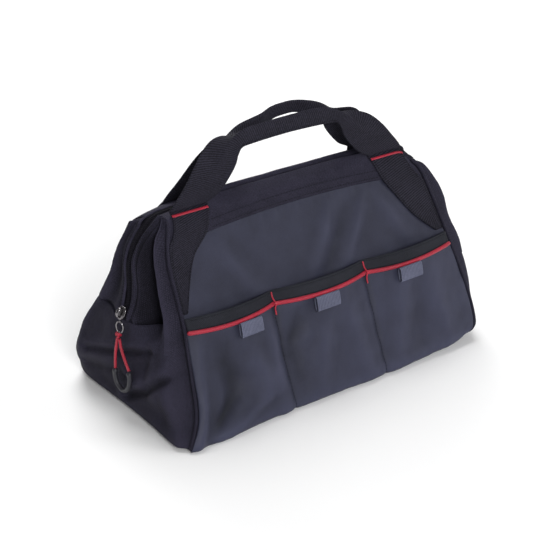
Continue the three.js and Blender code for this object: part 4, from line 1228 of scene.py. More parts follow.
def place_group(tree, name, vector, values):
    """A shared group in a material, made when it is first asked for."""
    makers = {"thread_weave": weave_group, "webbing_ribs": rib_group, "cloth_mottle": mottle_group}
    node = tree.nodes.new("ShaderNodeGroup")
    node.node_tree = bpy.data.node_groups.get(name) or makers[name](name)
    tree.links.new(vector, node.inputs["Vector"])
    set_inputs(node, values)
    return node


def new_material(name):
    """A material with its tree and its shader."""
    material = bpy.data.materials.new(name)
    material.use_nodes = True
    return material, material.node_tree, material.node_tree.nodes["Principled BSDF"]


def ramp(tree, factor, low, high):
    """A straight change between two numbers as a factor goes from 0 to 1."""
    node = tree.nodes.new("ShaderNodeMapRange")
    tree.links.new(factor, node.inputs["Value"])
    set_inputs(node, {"To Min": low, "To Max": high})
    return node.outputs["Result"]


def tinted(tree, factor, colour, dark, light):
    """A colour that runs from its dark share to its light share with a factor."""
    mix = tree.nodes.new("ShaderNodeMix")
    mix.data_type = "RGBA"
    tree.links.new(factor, mix.inputs["Factor"])
    mix.inputs["A"].default_value = (*[c * dark for c in colour], 1)
    mix.inputs["B"].default_value = (*[min(1.0, c * light) for c in colour], 1)
    return mix.outputs["Result"]


def bumped(tree, shader, height, distance, strength):
    """Raises a surface by a height of so many millimetres."""
    bump = tree.nodes.new("ShaderNodeBump")
    set_inputs(bump, {"Distance": distance * MM, "Strength": strength})
    tree.links.new(height, bump.inputs["Height"])
    tree.links.new(bump.outputs["Normal"], shader.inputs["Normal"])


def cloth_material(name, colour, row):
    """Dyed cloth: the pattern's painted shade, a soft cloudiness and the painted shade of folds and light of
    ridges set the colour and roughness, and the pattern's height with a fine grain sets the bump."""
    material, tree, shader = new_material(name)
    uv = tree.nodes.new("ShaderNodeUVMap")
    uv.uv_map = "Cloth"
    place = tree.nodes.new("ShaderNodeTexCoord")
    painted_shade = tree.nodes.new("ShaderNodeAttribute")
    painted_shade.attribute_name = "Wear"
    values = {label.capitalize(): row[label] for label in ("pitch", "slant") if label in row}
    weave = place_group(tree, row["pattern"], uv.outputs["UV"], values)
    mottle = place_group(tree, "cloth_mottle", place.outputs["Object"], CLOTH_MOTTLE)
    shade = off_middle(tree, weave.outputs["Shade"], SHADE_MIDDLE, row["contrast"])
    cloud = off_middle(tree, mottle.outputs["Cloud"], HALF, CLOUD_SHARE)
    speck = off_middle(tree, mottle.outputs["Grain"], HALF, row["contrast"] * row.get("grain", GRAIN_SHARE))
    # Painted shade in folds and painted light on ridges, read from the mesh's attribute.
    fold_paint = off_middle(tree, painted_shade.outputs["Fac"], HALF, row.get("painted_shading", PAINTED_SHADE_SHARE))
    factor = plus(tree, plus(tree, shade, cloud), plus(tree, speck, fold_paint))
    factor = plus(tree, factor, HALF, clamp=True)
    rough = ramp(tree, factor, row["roughness"] + ROUGHNESS_SPREAD, row["roughness"] - ROUGHNESS_SPREAD)
    tree.links.new(tinted(tree, factor, colour, *CLOTH_TINTS), shader.inputs["Base Color"])
    tree.links.new(rough, shader.inputs["Roughness"])
    height = plus(tree, weave.outputs["Height"], times(tree, mottle.outputs["Grain"], GRAIN_HEIGHT))
    bumped(tree, shader, height, row["relief"], CLOTH_BUMP)
    shader.inputs["Specular IOR Level"].default_value = row["gloss"]
    return material


def plain_material(name, colour, row):
    """Moulded or plated finish: a cloudiness changes its tint and roughness, and a fine grain its bump."""
    material, tree, shader = new_material(name)
    place = tree.nodes.new("ShaderNodeTexCoord")
    mottle = place_group(tree, "cloth_mottle", place.outputs["Object"], PLAIN_MOTTLE)
    cloud = mottle.outputs["Cloud"]
    rough = ramp(tree, cloud, row["roughness"] - row["spread"], row["roughness"] + row["spread"])
    tree.links.new(tinted(tree, cloud, colour, *PLAIN_TINTS), shader.inputs["Base Color"])
    tree.links.new(rough, shader.inputs["Roughness"])
    bumped(tree, shader, mottle.outputs["Grain"], row["relief"], PLAIN_BUMP)
    set_inputs(shader, {"Metallic": row["metallic"], "Specular IOR Level": row["gloss"]})
    return material


def finish_of(finish):
    """The material of a finish, made when it is first asked for."""
    name = "finish_" + finish
    row = FINISHES[finish]
    colour = getattr(bpy.context.scene.tool_bag_finish, row["colour"])
    make = cloth_material if "pattern" in row else plain_material
    return bpy.data.materials.get(name) or make(name, colour, row)


# Settings.


def dye(name, description, default):
    """A colour among the settings."""
    return FloatVectorProperty(
        name=name, description=description, subtype="COLOR", size=3, min=0, max=1, default=default,
    )


class BagShape(bpy.types.PropertyGroup):
    """Sizes of the soft forms."""

    fold_depth: FloatProperty(
        name="Fold depth", description="Scale of all folds and ripples",
        default=1.0, min=0.0, max=2.0, subtype="FACTOR",
    )
    stitch_pitch: FloatProperty(
        name="Stitch pitch", description="Length from stitch to stitch",
        default=0.0032, min=0.001, max=0.01, unit="LENGTH",
    )
    thread_radius: FloatProperty(
        name="Thread radius", description="Radius of the sewing thread",
        default=0.00032, min=0.0001, max=0.001, unit="LENGTH",
    )


class BagFinish(bpy.types.PropertyGroup):
    """Colours of the bag's materials."""

    coated_cloth: dye("Coated cloth", "Smooth cloth of the walls and pockets", (0.025, 0.0265, 0.047))
    woven_cloth: dye("Woven cloth", "Coarse cloth of the ends and bands", (0.0203, 0.0187, 0.0318))
    webbing: dye("Webbing", "Handle straps", (0.0145, 0.0135, 0.0215))
    loop_webbing: dye("Loop webbing", "Pen loops", (0.085, 0.09, 0.135))
    binding_tape: dye("Binding tape", "Bound pocket edge", (0.0155, 0.0165, 0.0225))
    red_trim: dye("Red trim", "Piping, bar tacks and pull cord", (0.36, 0.0135, 0.034))
    zip_cloth: dye("Zip", "Zip tape and coil", (0.0075, 0.0068, 0.0115))
    dark_metal: dye("Dark metal", "Slider and ring", (0.2, 0.19, 0.2))
    grip_rubber: dye("Grip rubber", "Moulded end of the pull", (0.016, 0.016, 0.023))
    thread: dye("Thread", "Sewing thread of the dark seams", (0.007, 0.007, 0.011))


class BagView(bpy.types.PropertyGroup):
    """The camera and its light."""

    azimuth: FloatProperty(
        name="Azimuth", description="Turn round the bag", default=math.radians(-36.97), unit="ROTATION",
    )
    elevation: FloatProperty(
        name="Elevation", description="Height angle", default=math.radians(25.7), unit="ROTATION",
    )
    distance: FloatProperty(
        name="Distance", description="From the aim point", default=1.5, min=0.2, unit="LENGTH",
    )
    lens: FloatProperty(
        name="Lens", description="Focal length in millimetres of film", default=101.0, min=10.0,
    )
    aim_side: FloatProperty(
        name="Aim sideways", description="Aim point right of the middle", default=-0.006, unit="LENGTH",
    )
    aim_height: FloatProperty(
        name="Aim height", description="Aim point above the floor", default=0.0852, unit="LENGTH",
    )
    light: FloatProperty(
        name="Light", description="Scale of the studio light",
        default=1.0, min=0.0, max=5.0, subtype="FACTOR",
    )


# Operators.


class MakeStage(bpy.types.Operator):
    """Camera, pale floor and soft studio light"""

    bl_idname = "tool_bag.make_stage"
    bl_label = "Stage"

    def execute(self, context):
        view = context.scene.tool_bag_view
        a, e = view.azimuth, view.elevation
        back = Vector((math.sin(a) * math.cos(e), -math.cos(a) * math.cos(e), math.sin(e)))
        right = Vector((math.cos(a), math.sin(a), 0))
        aim = right * view.aim_side + Vector((0, 0, view.aim_height))
        lens = bpy.data.cameras.new("camera")
        lens.lens = view.lens
        lens.sensor_width = CAMERA["sensor"]
        lens.clip_end = CAMERA["far"]
        context.scene.camera = self.aimed(context, "camera", lens, aim + back * view.distance, -back)
        context.scene.view_settings.view_transform = "Standard"
        self.make_floor()
        self.make_light(context, view.light)
        return {"FINISHED"}

    def aimed(self, context, name, data, place, looks):
        """A camera or lamp at a place that looks the given way."""
        made = bpy.data.objects.new(name, data)
        made.location = place
        made.rotation_mode = "QUATERNION"
        made.rotation_quaternion = looks.to_track_quat("-Z", "Y")
        context.scene.collection.objects.link(made)
        return made

    def make_floor(self):
        """A wide flat sheet, just under the bag, from a grid of points. Far from the bag it runs to plain
        white."""
        rows, columns = GRID["floor"]
        half = FLOOR["half"] / MM
        x, y = np.meshgrid(np.linspace(-half, half, columns), np.linspace(-half, half, rows))
        points = np.stack([x, y, np.zeros_like(x)], axis=-1).reshape(-1, 3)
        floor = put_mesh("studio_floor", points, grid_quads(rows, columns, False).tolist(), points[:, :2])
        material, tree, shader = new_material("studio_floor")
        white = FLOOR["white"]
        set_inputs(shader, {
            "Base Color": (white, white, white, 1), "Roughness": FLOOR["roughness"],
            "Specular IOR Level": FLOOR["gloss"], "Emission Strength": 1.0,
        })
        away = tree.nodes.new("ShaderNodeVectorMath")
        away.operation = "LENGTH"
        tree.links.new(tree.nodes.new("ShaderNodeTexCoord").outputs["Object"], away.inputs[0])
        far = tree.nodes.new("ShaderNodeMapRange")
        set_inputs(far, dict(zip(("From Min", "From Max"), FLOOR["plain"])))
        tree.links.new(away.outputs["Value"], far.inputs["Value"])
        seen = tree.nodes.new("ShaderNodeLightPath").outputs["Is Camera Ray"]
        tree.links.new(times(tree, far.outputs["Result"], seen), shader.inputs["Emission Color"])
        floor.data.materials.append(material)

    def make_light(self, context, scale):
        """An even white surround and four large soft lamps."""
        world = bpy.data.worlds.new("studio")
        world.use_nodes = True
        tree = world.node_tree
        surround = tree.nodes["Background"]
        surround.inputs["Color"].default_value = (1, 1, 1, 1)
        seen = tree.nodes.new("ShaderNodeLightPath").outputs["Is Camera Ray"]
        strength = ramp(tree, seen, SURROUND["light"] * scale, SURROUND["seen"])
        tree.links.new(strength, surround.inputs["Strength"])
        context.scene.world = world
        for name, row in LAMPS.items():
            lamp = bpy.data.lights.new(name, "AREA")
            lamp.shape = "DISK"
            lamp.size = row["size"]
            lamp.energy = row["power"] * scale
            self.aimed(context, name, lamp, row["place"], Vector(LAMP_AIM) - Vector(row["place"]))


class MakePull(bpy.types.Operator):
    """The zip's corded pull: ring, knot, two strands and a moulded grip"""

    bl_idname = "tool_bag.make_pull"
    bl_label = "Corded pull"

    def execute(self, context):
        grip = self.make_grip()
        knot = self.make_knot()
        self.make_ring()
        steps, sides = GRID["strand"]
        for name, points in STRANDS.items():
            path = smooth_path(points, steps)
            rings = tube_rings(path, CORD_RADIUS, sides, ALONG_RIDGE, cap=False)
            strand = finish_piece(loft(name + "_cord", rings), "red_trim", name)
            path = settle(path)
        return {"FINISHED"}

    def make_grip(self):
        """A bent rod whose radius swells on a bell into a collar at each end and waves a little all along."""
        steps, sides = GRID["grip"]
        path = along_path(smooth_path(GRIP, steps), fine_ends(steps))
        from_middle = np.abs(fine_ends(steps) - 0.5) * 2
        collar = bell((from_middle - GRIP_ROD["collar_at"]) / GRIP_ROD["collar_spread"])
        wave = np.cos(GRIP_ROD["waves"] * np.pi * np.linspace(-1, 1, steps))
        radius = GRIP_ROD["radius"] + GRIP_ROD["collar"] * collar + GRIP_ROD["wave"] * wave
        rings = tube_rings(path, radius, sides, ALONG_RIDGE)
        return finish_piece(loft("pull_grip_rubber", rings), "grip_rubber", "pull_grip")

    def make_knot(self):
        """A trefoil knot: the sine of a turn plus twice that of two turns, the cosine of a turn less twice
        that of two turns and the sine of three turns, with the cord's circle carried along it."""
        steps, sides = GRID["knot"]
        turn = once_round(steps)
        y = np.sin(turn) + 2 * np.sin(2 * turn)
        z = np.cos(turn) - 2 * np.cos(2 * turn)
        path = np.stack([np.sin(3 * turn), y, z], axis=1) * np.array(KNOT_SIZE)
        rings = tube_rings(path, KNOT_CORD, sides, path + np.array(KNOT_ASIDE), cap=False)
        knot = loft("pull_knot_cord", rings + np.array(KNOT_PLACE), closed_path=True)
        return finish_piece(knot, "red_trim", "pull_knot")

    def make_ring(self):
        """A wire ring: a circle turned about the upright, narrowed and drawn out a little up and down."""
        steps, sides = GRID["ring"]
        turn = once_round(steps)
        flat = RING["narrow"] * RING["radius"] * np.cos(turn)
        up = RING["radius"] * np.sin(turn) * RING["drawn"]
        path = np.stack([flat * math.cos(RING["turned"]), -flat * math.sin(RING["turned"]), up], axis=1)
        rings = tube_rings(path, RING["wire"], sides, path, cap=False) + np.array(RING_PLACE, float)
        finish_piece(loft("pull_ring_wire", rings, closed_path=True), "dark_metal", "pull_ring")


class MakeWalls(bpy.types.Operator):
    """The leaning front and rear walls of coated cloth, and the base"""

    bl_idname = "tool_bag.make_walls"
    bl_label = "Walls and base"

    def execute(self, context):
        rows, columns = GRID["wall"]
        across = np.linspace(-1, 1, columns)[None]
        for side, name in FACE_NAMES.items():
            z = HEM + (ridge_top(side, across) - HEM) * fine_ends(rows)[:, None]
            x = across * (body(z, "width") - WALL_SHORT)
            face = on_wall(side, x, z, wall_relief(side, x, z))
            wall = cloth_wall(name + "_wall_cloth", face, outward(side))
            finish_piece(wall, "coated_cloth", name + "_panel")
        self.make_base()
        return {"FINISHED"}

    def make_base(self):
        """A flat sheet as wide and deep as the hem, on a grid."""
        rows, columns = GRID["base"]
        u, v = np.meshgrid(np.linspace(-1, 1, columns), np.linspace(-1, 1, rows))
        half = float(body(BASE["at"], "width")) - WALL_SHORT
        deep = float(body(BASE["at"], "depth")) - WALL_SHORT
        face = np.stack([u * half, v * deep, np.full_like(u, BASE["top"])], axis=-1)
        base = cloth_wall("base_sheet", face, np.array(UPRIGHT), thickness=BASE["thickness"])
        finish_piece(base, "woven_cloth", "base_panel")


class MakeEnds(bpy.types.Operator):
    """The soft ends, in three pieces each, and the corded side seams"""

    bl_idname = "tool_bag.make_ends"
    bl_label = "Ends and side seams"

    def execute(self, context):
        for end, end_name in END_NAMES.items():
            self.make_lower(end, end_name)
            for side, name in FACE_NAMES.items():
                self.make_upper(end, end_name, side, name)
                self.make_seam(end, end_name, side, name)
        return {"FINISHED"}

    def make_lower(self, end, end_name):
        """The end's surface over depth and height, from the hem to the shelf seam."""
        rows, columns = GRID["lower_end"]
        across = np.linspace(-1, 1, columns)[None]
        top = SHELF + SHELF_LAP + SHELF_RISE * smooth(-across, *SHELF_RISE_SPAN)
        z = HEM + (top - HEM) * np.linspace(0, 1, rows)[:, None] ** END_CROWDING
        y = across * (body(z, "depth") - END_SHORT)
        looks = np.array([end, 0, 0])
        piece = cloth_wall(end_name + "_end_lower_cloth", on_end(end, y, z), looks, thickness=END_THICKNESS)
        finish_piece(piece, "woven_cloth", end_name + "_end_lower")

    def make_upper(self, end, end_name, side, name):
        """The end's surface from the zip's edge to the seam, and from the shelf seam to the ridge. On the
        front half the recess gets painted shade."""
        rows, columns = GRID["upper_end"]
        top = ridge_top(side, 1.0) + SHOULDER["above"]
        foot = SHELF - TUCK["below"]
        z = (foot + (top - foot) * np.linspace(0, 1, rows))[:, None]
        share = np.linspace(0, 1, columns)[None]
        seam = np.maximum(body(z, "depth") - END_SHORT, ZIP_LIP + UPPER_LEAST)
        y = side * (ZIP_LIP + share * (seam - ZIP_LIP))
        tucked = TUCK["deep"] - TUCK["less"] * smooth(share, *TUCK["across"])
        tucked = -tucked * (1 - smooth(z, SHELF, SHELF + TUCK["height"]))
        face = on_end(end, y, z, tucked, upper=True)
        face = np.concatenate([face, self.shoulder(end, side, face[-1:], share)])
        # Painted shade over the front half's recess, between the zip and the roll.
        sunk = smooth(share, *RECESS_PAINTED_SHADE["inner"]) * (1 - smooth(share, *RECESS_PAINTED_SHADE["outer"]))
        sunk = sunk * (1 - smooth(face[:, :1, 2], *RECESS_PAINTED_SHADE["height"]))
        piece = cloth_wall(
            f"{end_name}_end_{name}_cloth", face, np.array([end, 0, 0]), thickness=END_THICKNESS,
            added_shade=RECESS_PAINTED_SHADE["share"] * sunk * (side == FRONT),
        )
        finish_piece(piece, "woven_cloth", f"{end_name}_end_{name}")

    def shoulder(self, end, side, edge, share):
        """Rows from an upper end's top edge over to the ridge: a quarter ellipse with a low crown, up to the
        zip's height beside the zip and to the wall's corner at the seam."""
        turn = np.linspace(0, 1, SHOULDER_ROWS)[1:, None]
        inner_x = end * (SHOULDER["at"] + SHOULDER["spread"] * share)
        inner_z = (1 - share) * zip_height(inner_x) + share * (ridge_top(side, 1.0) - SHOULDER["drop"])
        x = edge[..., 0] + (inner_x - edge[..., 0]) * (1 - np.cos(QUARTER_TURN * turn))
        z = edge[..., 2] + (inner_z - edge[..., 2]) * np.sin(QUARTER_TURN * turn)
        z = z + SHOULDER["crown"] * np.sin(np.pi * turn)
        return np.stack([x, edge[..., 1] + 0 * turn, z], axis=-1)

    def make_seam(self, end, end_name, side, name):
        """A cord in a sewn sleeve: circles carried up the seam's line."""
        steps, sides = GRID["seam"]
        z = np.linspace(SEAM_FOOT, ridge_top(side, 1.0) - SEAM_SHORT, steps)
        x = end * (body(z, "width") + SEAM_OUT[side, end])
        line = np.stack([x, side * (body(z, "depth") - SEAM_IN), z], axis=1)
        cord = loft(f"{name}_{end_name}_seam_cord", tube_rings(line, PIPING_RADIUS, sides, ALONG_RIDGE))
        finish_piece(cord, "woven_cloth", f"{name}_{end_name}_piping")


class MakePockets(bpy.types.Operator):
    """The pocket cloth with its bound edge, red piping and bar tacks"""

    bl_idname = "tool_bag.make_pockets"
    bl_label = "Pockets"

    def execute(self, context):
        rows, columns = GRID["pocket"]
        across = np.linspace(-1, 1, columns)[None]
        high = piping_height(across * float(body(POCKET_LEVEL, "width"))) - POCKET_UNDER
        rise = np.linspace(0, 1, rows)[:, None] ** POCKET_CROWDING
        z = POCKET_HEM + (high - POCKET_HEM) * rise
        x = across * (body(z, "width") - WALL_SHORT)
        # Painted light on the pocket cloth: a little over all, more towards the right end and on its folds'
        # crests, with painted shade in its valleys.
        added_shade = POCKET_PAINTED_LIGHT["all"] + POCKET_PAINTED_LIGHT["across"] * across
        added_shade = added_shade + POCKET_PAINTED_LIGHT["folds"] * folds_at(POCKET_FOLDS, x, z)
        cloth = cloth_wall(
            "pocket_cloth", on_pocket(x, z), outward(FRONT), thickness=POCKET_THICKNESS, added_shade=added_shade,
        )
        finish_piece(cloth, "coated_cloth", "pocket_panel")
        self.make_binding()
        self.make_piping()
        for name, place in zip(END_NAMES.values(), DIVISIONS):
            self.make_tick(name, place)
        return {"FINISHED"}

    def edge_places(self, count, level):
        """Even places along the pocket's edge from seam to seam."""
        return np.linspace(-1, 1, count) * (float(body(level, "width")) - POCKET_SHORT)

    def make_binding(self):
        """A tape folded over the pocket's edge: a flat loop of points, outer face, round top and inner face,
        carried along the edge."""
        x = self.edge_places(BINDING_STEPS, BINDING_LOW)[:, None]
        low = piping_height(x) + BINDING_GAP
        rise = np.array(BINDING_LOOP["rise"])[None]
        out = np.array(BINDING_LOOP["out"])[None] + uneven("binding", x, 0 * x) * rise
        rings = on_pocket(x, low + (binding_height(x) - low) * rise, out, relief=False)
        finish_piece(loft("pocket_edge_tape", rings), "binding_tape", "pocket_binding")

    def make_piping(self):
        """A corded red edge: circles carried along the line under the binding."""
        steps, sides = GRID["piping"]
        x = self.edge_places(steps, PIPING_LOW)
        line = on_pocket(x, piping_height(x), PIPING_OUT, relief=False)
        rings = tube_rings(line, POCKET_PIPING_RADIUS, sides, UPRIGHT)
        finish_piece(loft("pocket_edge_cord", rings), "red_trim", "pocket_piping")

    def make_tick(self, name, place):
        """A dense bar tack up a division: a low pad whose height follows a half ellipse across and fine
        threads along, and which climbs over the piping on a bell."""
        rows, columns = GRID["tick"]
        z = np.linspace(TICK["from"], TICK["to"], rows)[:, None]
        v = np.linspace(-1, 1, columns)[None]
        away = (z - float(piping_height(np.array(place)))) / TICK["spread"]
        pad = pad_height(v) + TICK["thread"] * np.abs(np.sin(np.pi * z / THREAD_PITCH + v))
        out = POCKET_OFF + TICK["out"] + pad + TICK["climb"] * bell(away)
        face = on_wall(FRONT, place + TICK["half"] * v, z, out)
        tick = cloth_wall(f"pocket_{name}_bar_tack", face, outward(FRONT), thickness=TAPE_THICKNESS)
        finish_piece(tick, "red_trim", f"pocket_tick_{name}")


class MakeLoops(bpy.types.Operator):
    """The three pen loops of grey webbing"""

    bl_idname = "tool_bag.make_loops"
    bl_label = "Pen loops"

    def execute(self, context):
        for k, place in enumerate(LOOP_PLACES):
            self.make_loop(k + 1, place)
        return {"FINISHED"}

    def make_loop(self, number, place):
        """A flat hoop: a rounded rectangle round the loop's hole, carried along its length, with its back on
        the pocket cloth."""
        rows, columns = GRID["loop"]
        x = place + np.linspace(-0.5, 0.5, rows)[:, None] * LOOP["width"]
        turn = once_round(columns)[None]
        up = squarer(np.cos(turn), LOOP["square_up"])
        off = squarer(np.sin(turn), LOOP["square_out"])
        z = LOOP["middle"] + 0.5 * LOOP["height"] * up + 0 * x
        out = LOOP["off"] + 0.5 * LOOP["depth"] * (1 + off)
        face = on_pocket(x + 0 * turn, z, out, relief=False)
        looks = face - face.mean(axis=1, keepdims=True)
        hoop = cloth_wall(f"pen_loop_{number}_webbing", face, looks, thickness=LOOP["wall"], closed=True)
        finish_piece(hoop, "loop_webbing", f"pen_loop_{number}")


class MakeBands(bpy.types.Operator):
    """The woven bands under the ridge, turned in over it"""

    bl_idname = "tool_bag.make_bands"
    bl_label = "Ridge bands"

    def execute(self, context):
        rows, columns = GRID["band"]
        across = np.linspace(-1, 1, columns)[None]
        foot = band_foot(across)
        for side, name in FACE_NAMES.items():
            z = foot + (ridge_top(side, across) - foot) * np.linspace(0, 1, rows)[:, None]
            x = across * (body(z, "width") - BAND_SHORT)
            outer = on_wall(side, x, z, band_lift(side, x, z))
            face = np.concatenate([outer, self.turned_in(side, outer[-1:])])
            band = cloth_wall(name + "_ridge_band", face, outward(side), thickness=BAND_THICKNESS)
            finish_piece(band, "woven_cloth", name + "_top_band")
        return {"FINISHED"}

    def turned_in(self, side, edge):
        """Rows from a band's top edge in to the zip: a quarter sine wave in, and up or down to the zip's
        height with a crown of half a sine wave."""
        turn = np.linspace(0, 1, LIP_ROWS)[1:, None, None]
        x, y, z = edge[..., :1], edge[..., 1:2], edge[..., 2:]
        inner = side * np.minimum(np.abs(y) - LIP["in"], ZIP_LIP)
        climb = zip_height(x) + LIP["above"] - z
        quarter = np.sin(QUARTER_TURN * turn)
        ease = np.where(climb < 0, turn**2, quarter)
        crown = np.clip(climb, 0, LIP["most"]) * LIP["crown"] * np.sin(np.pi * turn)
        return np.concatenate([x + 0 * turn, y + (inner - y) * quarter, z + climb * ease + crown], axis=-1)


class MakeHandles(bpy.types.Operator):
    """The two webbing handles with their red bar tacks"""

    bl_idname = "tool_bag.make_handles"
    bl_label = "Handles"

    def execute(self, context):
        stations = np.concatenate([-FLAT_STATIONS[::-1], ROUND_STATIONS, FLAT_STATIONS])
        for side, name in FACE_NAMES.items():
            left = handle_half(side, LEFT, stations)
            right = handle_half(side, RIGHT, stations)[::-1][1:]
            face = np.concatenate([left, right])
            strap = cloth_wall(name + "_handle_webbing", face, outward(side, 0), thickness=STRAP)
            finish_piece(strap, "strap_webbing", name + "_handle")
            for end, end_name in END_NAMES.items():
                self.make_tack(side, name, end, end_name)
        return {"FINISHED"}

    def make_tack(self, side, name, end, end_name):
        """A dense bar tack across a leg: a low pad whose height is a half ellipse across, with fine slanted
        threads along it."""
        rows, columns = GRID["tack"]
        u = np.linspace(0, 1, rows)[:, None]
        v = np.linspace(-1, 1, columns)[None]
        z = np.full_like(u, TACK_AT[side])
        inner, outer = leg_edges(side, end, z)
        x = end * (inner + TACK["inside"] + (outer - inner - TACK_SHORT[side]) * u)
        thread = np.abs(np.sin(np.pi * (u * LEG_WIDTH / THREAD_PITCH + TACK["slant"] * v)))
        pad = pad_height(v) + TACK["thread"] * thread
        middle = on_wall(side, x, z, TACK["out"] + STRAP)
        up = unit(on_wall(side, x, z + SLOPE_STEP) - on_wall(side, x, z - SLOPE_STEP))
        out = unit(middle - on_wall(side, x, z))
        face = middle + (TACK["half"] * v)[..., None] * up + pad[..., None] * out
        tack = cloth_wall(f"{name}_{end_name}_bar_tack", face, outward(side), thickness=TAPE_THICKNESS)
        finish_piece(tack, "red_trim", f"{name}_{end_name}_tack")


class MakeZip(bpy.types.Operator):
    """The zip: woven tapes, interlocked coil teeth and the slider"""

    bl_idname = "tool_bag.make_zip"
    bl_label = "Zip"

    def execute(self, context):
        steps, columns = GRID["zip"]
        line, out = zip_line(steps)[:2]
        for side, name in FACE_NAMES.items():
            y = side * np.linspace(ZIP_TAPE["from"], ZIP_LIP + ZIP_TAPE["under"], columns)[None]
            rise = ZIP_TAPE["out"] - ZIP_TAPE["sink"] * smooth(np.abs(y), *ZIP_TAPE["sink_span"])
            face = line[:, None] + rise[..., None] * out[:, None]
            face = face + np.stack([0 * y, y, 0 * y], axis=-1)
            tape = cloth_wall(f"zip_{name}_tape", face, out[:, None], thickness=TAPE_THICKNESS)
            finish_piece(tape, "zip_tape", f"zip_tape_{name}")
        self.make_teeth()
        self.make_slider()
        return {"FINISHED"}

    def make_teeth(self):
        """Two rows of coil teeth that interlock: each tooth is a bowed bar, ellipses carried across the middle
        line on a parabola and narrower towards its outer end, and the two sides are half a pitch apart."""
        line, out, ahead = zip_line(TEETH_STEPS)
        run = path_run(line)
        count = int(run[-1] / TOOTH_PITCH)
        sides, steps = TOOTH["sides"], TOOTH["steps"]
        bend = np.linspace(-1, 1, steps)
        turn = once_round(sides)
        y = np.repeat(TOOTH["middle"] + TOOTH["reach"] * bend, sides)
        x = np.tile(TOOTH["half"] * np.cos(turn), steps)
        x = x * np.repeat(TOOTH["swell"] - TOOTH["narrow"] * bend, sides)
        z = np.tile(TOOTH["thick"] * np.sin(turn), steps)
        z = z + np.repeat(TOOTH["height"] - TOOTH["bow"] * bend * bend, sides)
        points, faces = [], []
        for k, side in enumerate(FACE_NAMES):
            at = (np.arange(count) + TOOTH_SHIFT[side]) * TOOTH_PITCH
            place, up, forward = (at_lengths(at, run, values) for values in (line, out, ahead))
            rows = place[:, None] + x[:, None] * forward[:, None] + z[:, None] * up[:, None]
            rows = rows + (side * y)[:, None] * np.array([0, 1, 0])
            faces += row_of_skins(steps, sides, count, k * count * len(x), side == FRONT)
            points.append(rows.reshape(-1, 3))
        points = np.concatenate(points)
        teeth = put_mesh("zip_coil_teeth", points, faces, points[:, :2])
        finish_piece(teeth, "zip_coil", "zip_chain")

    def make_slider(self):
        """A slider: a pillow-shaped plate whose outline narrows to the tail, its edge rounded by a power of
        half a sine wave through its thickness, with an arched bridge."""
        z = np.array(SLIDER["heights"])
        x = -(body(z, "width") + body(z, "left_middle"))
        up = np.array([x[2] - x[0], 0.0, z[2] - z[0]])
        up = up / np.linalg.norm(up)
        out = np.array([-up[2], 0.0, up[0]])
        side = np.cross(up, out)
        foot = np.array([x[1], 0.0, z[1]]) + SLIDER["out"] * out

        def placed(local):
            return foot + local[..., :1] * side + local[..., 1:2] * up + local[..., 2:] * out

        levels, sides = GRID["plate"]
        turn = once_round(sides)[None]
        level = np.linspace(0, 1, levels)[:, None]
        width = SLIDER["half"] - SLIDER["narrow"] * smooth(-np.sin(turn), 0.0, 1.0)
        rim = np.sin(np.pi * np.clip(level, *SLIDER["rim_span"])) ** SLIDER["rim"]
        plate_x = width * rim * squarer(np.cos(turn), SLIDER["square"])
        plate_y = SLIDER["half_length"] * rim * squarer(np.sin(turn), SLIDER["square_length"])
        plate = np.stack([plate_x, plate_y, SLIDER["thick"] * level + 0 * turn], axis=-1)
        plate_piece = loft("zip_slider_body", placed(plate))
        steps, sides = GRID["bridge"]
        arch = np.linspace(0, np.pi, steps)
        rise = BRIDGE["foot"] + BRIDGE["rise"] * np.sin(arch) ** BRIDGE["arch"]
        path = np.stack([0 * arch, BRIDGE["half_length"] * np.cos(arch), rise], axis=1)
        rings = tube_rings(path, BRIDGE["radius"], sides, ALONG_RIDGE, cap=False)
        middle = path[:, None]
        rings = middle + (rings - middle) * np.array(BRIDGE["stretch"])
        bridge = loft("zip_slider_bridge", placed(rings))
        slider = join_pieces("zip_slider_metal", [plate_piece, bridge])
        finish_piece(slider, "dark_metal", "zip_slider")


